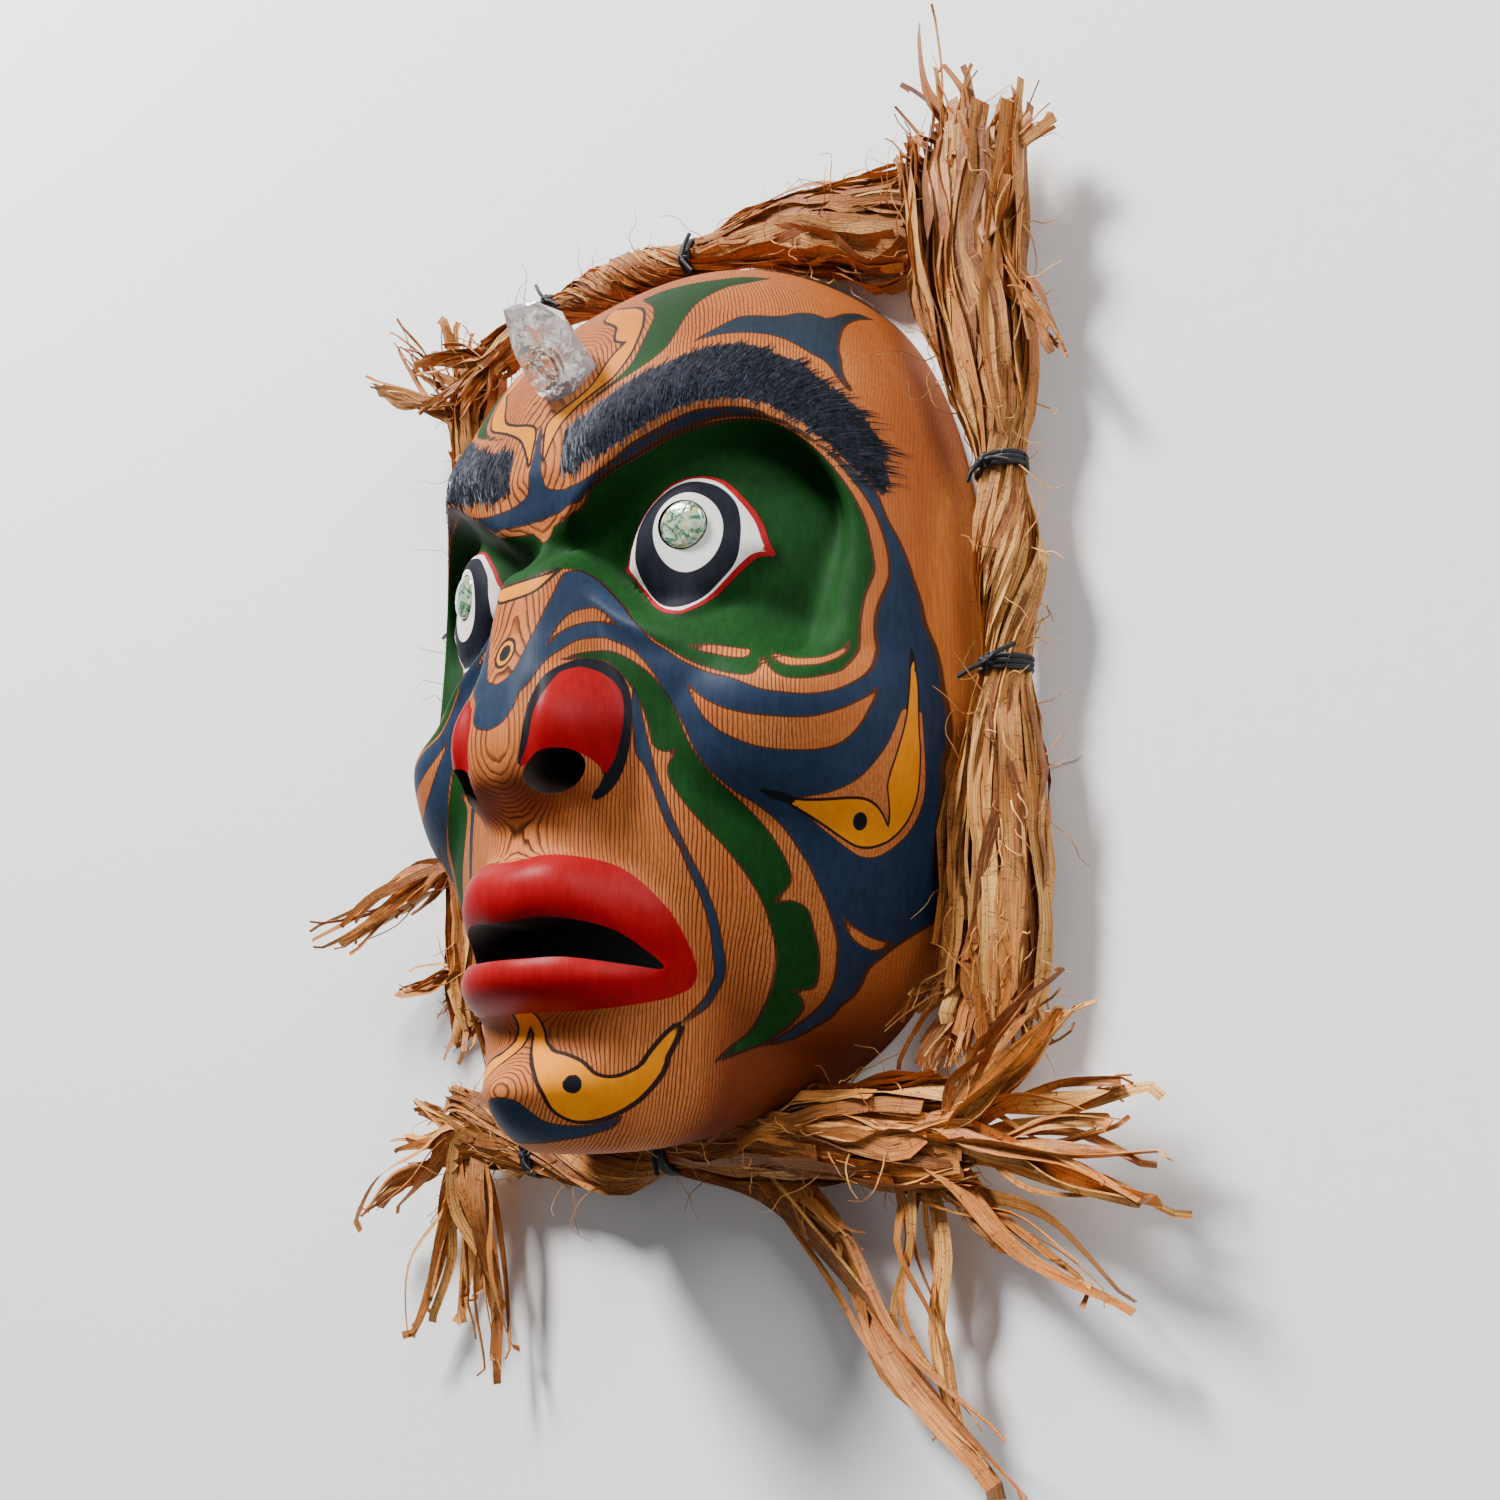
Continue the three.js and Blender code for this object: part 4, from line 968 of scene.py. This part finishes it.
# Bark bundles. A station is x, y, z, half width, half height, and the ties are the numbers of the
# tied ones. A fan is the place where its strips leave the bundle, then the places they end at;
# a / parts two fans.
BUNDLES = {
    "top": dict(ties=(5, 8), twist=6.5, stations=rows("""
103,120,8,22,3 88,123,10,23,5 68,130,12,18,8 46,137,13,14,9 23,141,13,9.5,8.5 0,143,13,6.9,6.9
-27,149,13,9.5,8 -52,150,14,9.5,8 -74,146,17,6.9,6.9 -92,136,24,10,6 -104,126,31,11,3"""), fans="""
90,124,9 107,144,7 110,131,6 109,118,7 105,104,6 / -98,131,27 -108,106,36 -124,112,42 -128,128,44
-118,139,40"""),
    "right": dict(ties=(5, 7), twist=3.2, stations=rows("""
125,142,23,24,4 124,114,22,23,8 123,84,20,20,9 127,52,18,15,9 129,34,17,11,9 129,18,15,6.9,6.9
131,-16,17,10.5,9 127.5,-46,15,6.9,6.9 125,-68,15,13,9 123,-92,15,16,9 120,-118,14,17,8
116,-138,13,18,6 112,-150,12,15,3"""), fans="""
121,116,22 98,140,20 103,152,24 109,181,24 116,148,21 125,156,24 134,133,22 147,139,24 157,125,22 /
134,88,22 146,110,27 156,46,24 / 118,-124,13 134,-155,12 124,-158,9 113,-160,15 102,-160,10
94,-162,14 86,-150,11"""),
    "bottom": dict(ties=(3, 5), twist=3.6, stations=rows("""
-116,-181,19,17,3 -104,-181,19,14,5 -88,-185,17,10,7 -71,-189,14,6.9,6.9 -40,-192,13,9.5,8.5
-6,-187,14,6.9,6.9 16,-184,15,11.5,9 42,-182,16,14.5,10 70,-182,17,16.5,9 95,-182,19,18,6
114,-181,21,20,3"""), fans="""
98,-183,19 118,-212,15 168,-200,26 170,-185,24 169,-168,26 156,-147,32 146,-141,28 / 30,-190,14
62,-214,13 122,-275,16 / 84,-188,15 101,-261,14 154,-224,20 / -102,-181,19 -88,-265,14 -112,-246,12
-136,-254,14 -124,-215,16 -162,-211,20 -146,-188,20 -131,-172,22"""),
    "left": dict(ties=(4, 6), twist=3.2, stations=rows("""
-116,142,22,15,4 -118,112,20,16,8 -119,84,17,13,8 -121,48,14,10.5,8 -123,18,12,6.9,6.9
-125,-16,12,9.5,8 -123,-46,12,6.9,6.9 -119,-76,12,11,8 -115,-104,12,13,8 -112,-130,12,14,6
-108,-144,12,13,3"""), fans="""
-122,112,23 -106,140,22 -119,148,25 -130,158,30 -158,160,35 -150,142,30 -173,141,35 / -118,-76,15
-185,-103,36 -165,-109,35 -145,-98,28 / -114,-118,13 -146,-126,22 -130,-133,15 -117,-150,16
-104,-156,12 -93,-150,10"""),
}
RIBBON = [(-1, 0.5), (-0.45, -0.7), (0.45, -0.7), (1, 0.5), (0.45, 0.35), (-0.45, 0.35)]
HAIR_SECTION = [(1, 0), (-0.5, 0.87), (-0.5, -0.87)]


def station(info, u):
    """station values at a fractional station number"""
    q = extended(info["stations"])
    i = int(min(max(math.floor(u), 0), len(q) - 4))
    return between(*q[i:i + 4], u - i)


def bundle_axes(info, u):
    """(station values, along, across, up) at a fractional station number"""
    here = station(info, u)
    along = unit(station(info, u + 0.05)[:3] - here[:3])
    across = unit(np.cross((0, 0, 1), along))
    return here, along, across, np.cross(along, across)


def turn_of(info, u):
    """how far the strands have wound round their bundle at u"""
    first, last = info["ties"]
    return info["twist"] * smooth(first - 0.7, last + 0.7, u)


def bundle_point(info, u, angle, reach):
    """a point in the bundle's cross-section"""
    here, _, across, up = bundle_axes(info, u)
    a = angle + turn_of(info, u)
    return here[:3] + across * here[3] * reach * math.cos(a) + up * here[4] * reach * math.sin(a)


def ripple(u, size):
    """a smooth random wave"""
    total = 0.0
    for k in range(3):
        tall = rng.normal(0, 1) / (k + 1)
        total = total + tall * np.sin((1.1 + 1.9 * k) * u + rng.uniform(0, 6.3))
    return size * total


def clear_of_mask(points):
    """moves points that would be in the mask out through its nearest face"""
    out = []
    for p in points:
        hit, normal, _, _ = surface.find_nearest(Vector(p))
        hit, away = np.array(hit), np.array(normal)
        if away[2] <= -0.05:
            away = -away
        outward = away * np.sign(np.dot(away, hit - (0, -10, 20)))
        depth = np.dot(p - hit, outward)
        if depth < STRIP_GAP and np.linalg.norm(p - hit) < STRIP_NEAR:
            p = p + outward * (STRIP_GAP - depth)
        out.append(p)
    return np.array(out)


def core_ribbons(batch, info):
    """the strips that run through both ties"""
    last = len(info["stations"]) - 1
    for k in range(CORE_STRIPS):
        broad = k % 2 == 0
        reach = math.sqrt(rng.uniform(0.5, 0.95) if broad else rng.uniform(0.2, 1.0))
        angle = rng.uniform(0, TURN)
        start, stop = (rng.choice([rng.uniform(-0.1, 0.8), rng.uniform(1, 3)], p=[0.75, 0.25])
                       for _ in range(2))
        u = np.linspace(start, last - stop, CORE_POINTS)
        apart = np.min([np.abs(u - t) for t in info["ties"]], axis=0)
        loose = smooth(0.1, 1.2, apart)
        far = np.clip(reach * (1 + ripple(u, 0.09) * loose), 0.1, 1.12)
        swing = angle + ripple(u, 0.16) * loose
        path = clear_of_mask([bundle_point(info, *row) for row in zip(u, swing, far)])
        wide = rng.uniform(2.2, 3.9) if broad else rng.uniform(0.7, 1.7)
        widths = wide * (0.42 + 0.58 * loose) * rng.uniform(0.88, 1.12, CORE_POINTS)
        flat = swing + turn_of(info, u) - math.pi / 2 + ripple(u, 0.3) + rng.normal(0, 0.25)
        *axes, _, high = strand_path(path, CORE_POINTS, 1, rng.uniform(0.25, 0.5), flat)
        batch.strand((*axes, widths, high), RIBBON, rng.uniform(0, 1), batch.count)


def fan_ribbons(batch, info, root, *tips):
    """the loose strip ends: a few strips near each tip, curled and split"""
    line = np.array([station(info, u)[:3] for u in np.linspace(0, len(info["stations"]) - 1, 60)])
    near = int(np.argmin(np.linalg.norm(line - root, axis=1)))
    inward = max(line[min(near + 9, 59)], line[max(near - 9, 0)],
                 key=lambda p: np.linalg.norm(p - np.mean(tips, axis=0)))
    for tip in tips:
        for k in range(STRIPS_PER_TIP):
            length = np.linalg.norm(tip - root)
            spread = rng.normal(0, 1, 3) * (3.6, 3.6, 1.8)
            shorter = rng.uniform(0.0, 0.35) ** 1.3 if k else 0.0
            end = tip + (root - tip) * shorter + spread * (1.0 if k else 0.3)
            begin = inward + rng.normal(0, 1, 3) * (4, 4, 3)
            middle = root + rng.normal(0, 1, 3) * (3.6, 3.6, 2.5)
            side = unit(np.cross((0, 0, 1), end - middle))
            sway = rng.normal(0, 0.042, 3) * length
            lift = rng.normal(0, 0.03, 3) * length
            path = [begin, middle]
            for j, v in enumerate((0.33, 0.68)):
                path.append(middle + (end - middle) * v + side * sway[j] + (0, 0, lift[j]))
            path.append(end)
            path.append(end + (end - path[-2]) * 0.12 + side * sway[2] * 0.5 + (0, 0, lift[2]))
            wide = (rng.uniform(2.0, 3.6), rng.uniform(1.2, 2.4), rng.uniform(0.4, 1.1))[k % 3]
            point = rng.uniform(0.15, 0.85)

            def width(u):
                return wide * (0.7 + 0.3 * smooth(0, 0.4, u)) * (1 - point * smooth(0.6, 1, u))

            path = strand_path(clear_of_mask(path), TIP_POINTS, width, rng.uniform(0.25, 0.5),
                               rng.uniform(-0.8, 0.8), rng.normal(0, 1.3))
            batch.strand(path, RIBBON, rng.uniform(0.1, 1), batch.count)


def loose_fibres(batch, info):
    """thin frayed hairs that stand off the bundle"""
    last = len(info["stations"]) - 1
    for _ in range(FRAYED_HAIRS):
        u = rng.uniform(0, last)
        begin = bundle_point(info, u, rng.uniform(0, TURN), 0.95)
        here, before, after = (station(info, v)[:3] for v in (u, u - 0.1, min(u + 0.1, last)))
        way = unit(unit(after - before) * rng.choice((-1, 1)) * rng.uniform(0.3, 1.0)
                   + unit(begin - here + 1e-6) * rng.uniform(0.1, 0.9))
        length = rng.uniform(6, 26)
        path = [begin]
        for _ in range(5):
            way = unit(way + rng.normal(0, 0.42, 3) + (0, 0, -0.05))
            path.append(path[-1] + way * length / 5)
        thick = rng.uniform(0.16, 0.36)

        def width(u):
            return thick * (1 - 0.6 * u)

        path = strand_path(clear_of_mask(path), HAIR_POINTS, width, width)
        batch.strand(path, HAIR_SECTION, rng.uniform(0.6, 1), batch.count)


def cord_tie(info, tie, number):
    """a coil of cord round the bundle with a knot and two short ends"""
    coil = Batch()

    def cord_through(path, count, seed, thick=CORD):
        coil.strand(strand_path(path, count, thick, thick), circle(8), 0.5, seed)

    here, along, across, up = bundle_axes(info, tie)
    here = here[:3]
    radius = WAIST + 0.75
    path = []
    for v in np.linspace(0, 1, 64):
        a = -0.6 + 2.6 * TURN * v
        path.append(here + across * radius * math.cos(a) + up * radius * math.sin(a)
                    + along * (v - 0.5) * 4.2)
    cord_through(path, 120, number)
    knot = here + up * (radius + 0.8) + across * rng.uniform(-3, 3)
    for k in range(3):
        way = unit(along * math.cos(k * 1.1) + across * math.sin(k * 1.1)) * 2.2
        cord_through([knot - way - up * 0.6, knot + up * (0.6 + 0.3 * k), knot + way - up * 0.6],
                     12, 7 + k)
    for k in range(2):
        way = unit(along * rng.uniform(-1, 1) + across * (1 if k else -1))
        end = knot + way * rng.uniform(8, 11) + up * rng.uniform(-1, 2)
        cord_through([knot, knot + way * 4 + up * 1.6, end], 12, 17 + k, CORD_END)
    return coil


bark = bark_material()
cord = cord_material()
for label, info in BUNDLES.items():
    batch = Batch()
    core_ribbons(batch, info)
    for fan in info["fans"].split("/"):
        fan_ribbons(batch, info, *rows(fan))
    loose_fibres(batch, info)
    piece(batch.build(f"bark_{label}", bark), "bark", f"bark_bundle_{label}")
    for number, tie in enumerate(info["ties"], 1):
        obj = cord_tie(info, tie, number).build(f"tie_{label}_{number}", cord)
        piece(obj, "cord", f"cord_tie_{label}_{number}")

# Floor, lights and camera.
steps = np.linspace(-FLOOR_HALF, FLOOR_HALF, FLOOR_CELLS + 1)
floor_material = two_tone("plain_floor", 0.2, 4, 0.5, None, (242, 243, 244),
                          (250, 251, 252), 0.85, 0.1, 0.0004)
floor = mesh_object("floor", [(x, y, 0) for y in steps for x in steps], grid_faces(FLOOR_CELLS),
                    [floor_material], smooth_faces=False)
floor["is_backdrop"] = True
MIDDLE = Vector((0.0, 0.0, 0.03))
for name, position, size, power, colour in (
        ("key", (-0.9, 2.15, 1.8), 0.8, 240, (1.0, 0.985, 0.965)),
        ("fill", (1.9, 1.7, 1.25), 1.4, 54, (0.98, 0.99, 1.0))):
    data = bpy.data.lights.new(name, "AREA")
    data.shape = "DISK"
    data.size, data.energy, data.color = size, power, colour
    lamp = bpy.data.objects.new(name, data)
    scene.collection.objects.link(lamp)
    lamp.location = position
    lamp.rotation_euler = (MIDDLE - Vector(position)).to_track_quat("-Z", "Y").to_euler()

scene.world = bpy.data.worlds.new("studio")
scene.world.use_nodes = True
sky = scene.world.node_tree.nodes["Background"].inputs
sky["Color"].default_value = (0.93, 0.96, 1.0, 1)
sky["Strength"].default_value = 0.23

lens = bpy.data.cameras.new("camera")
lens.lens = lens.sensor_width = lens.sensor_height = 36
lens.clip_start = 0.01
camera = bpy.data.objects.new("camera", lens)
scene.collection.objects.link(camera)
right = Vector((0.7695, 0.0, -0.6388))
back = Vector((0.6192, -0.2456, 0.7460)).normalized()
right = (right - back * right.dot(back)).normalized()
turn = Matrix((right, back.cross(right), back)).transposed()
camera.matrix_world = Matrix.Translation(Vector(to_frame((343.1, -180.9, 394.9)))) @ turn.to_4x4()
scene.camera = camera

low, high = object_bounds()
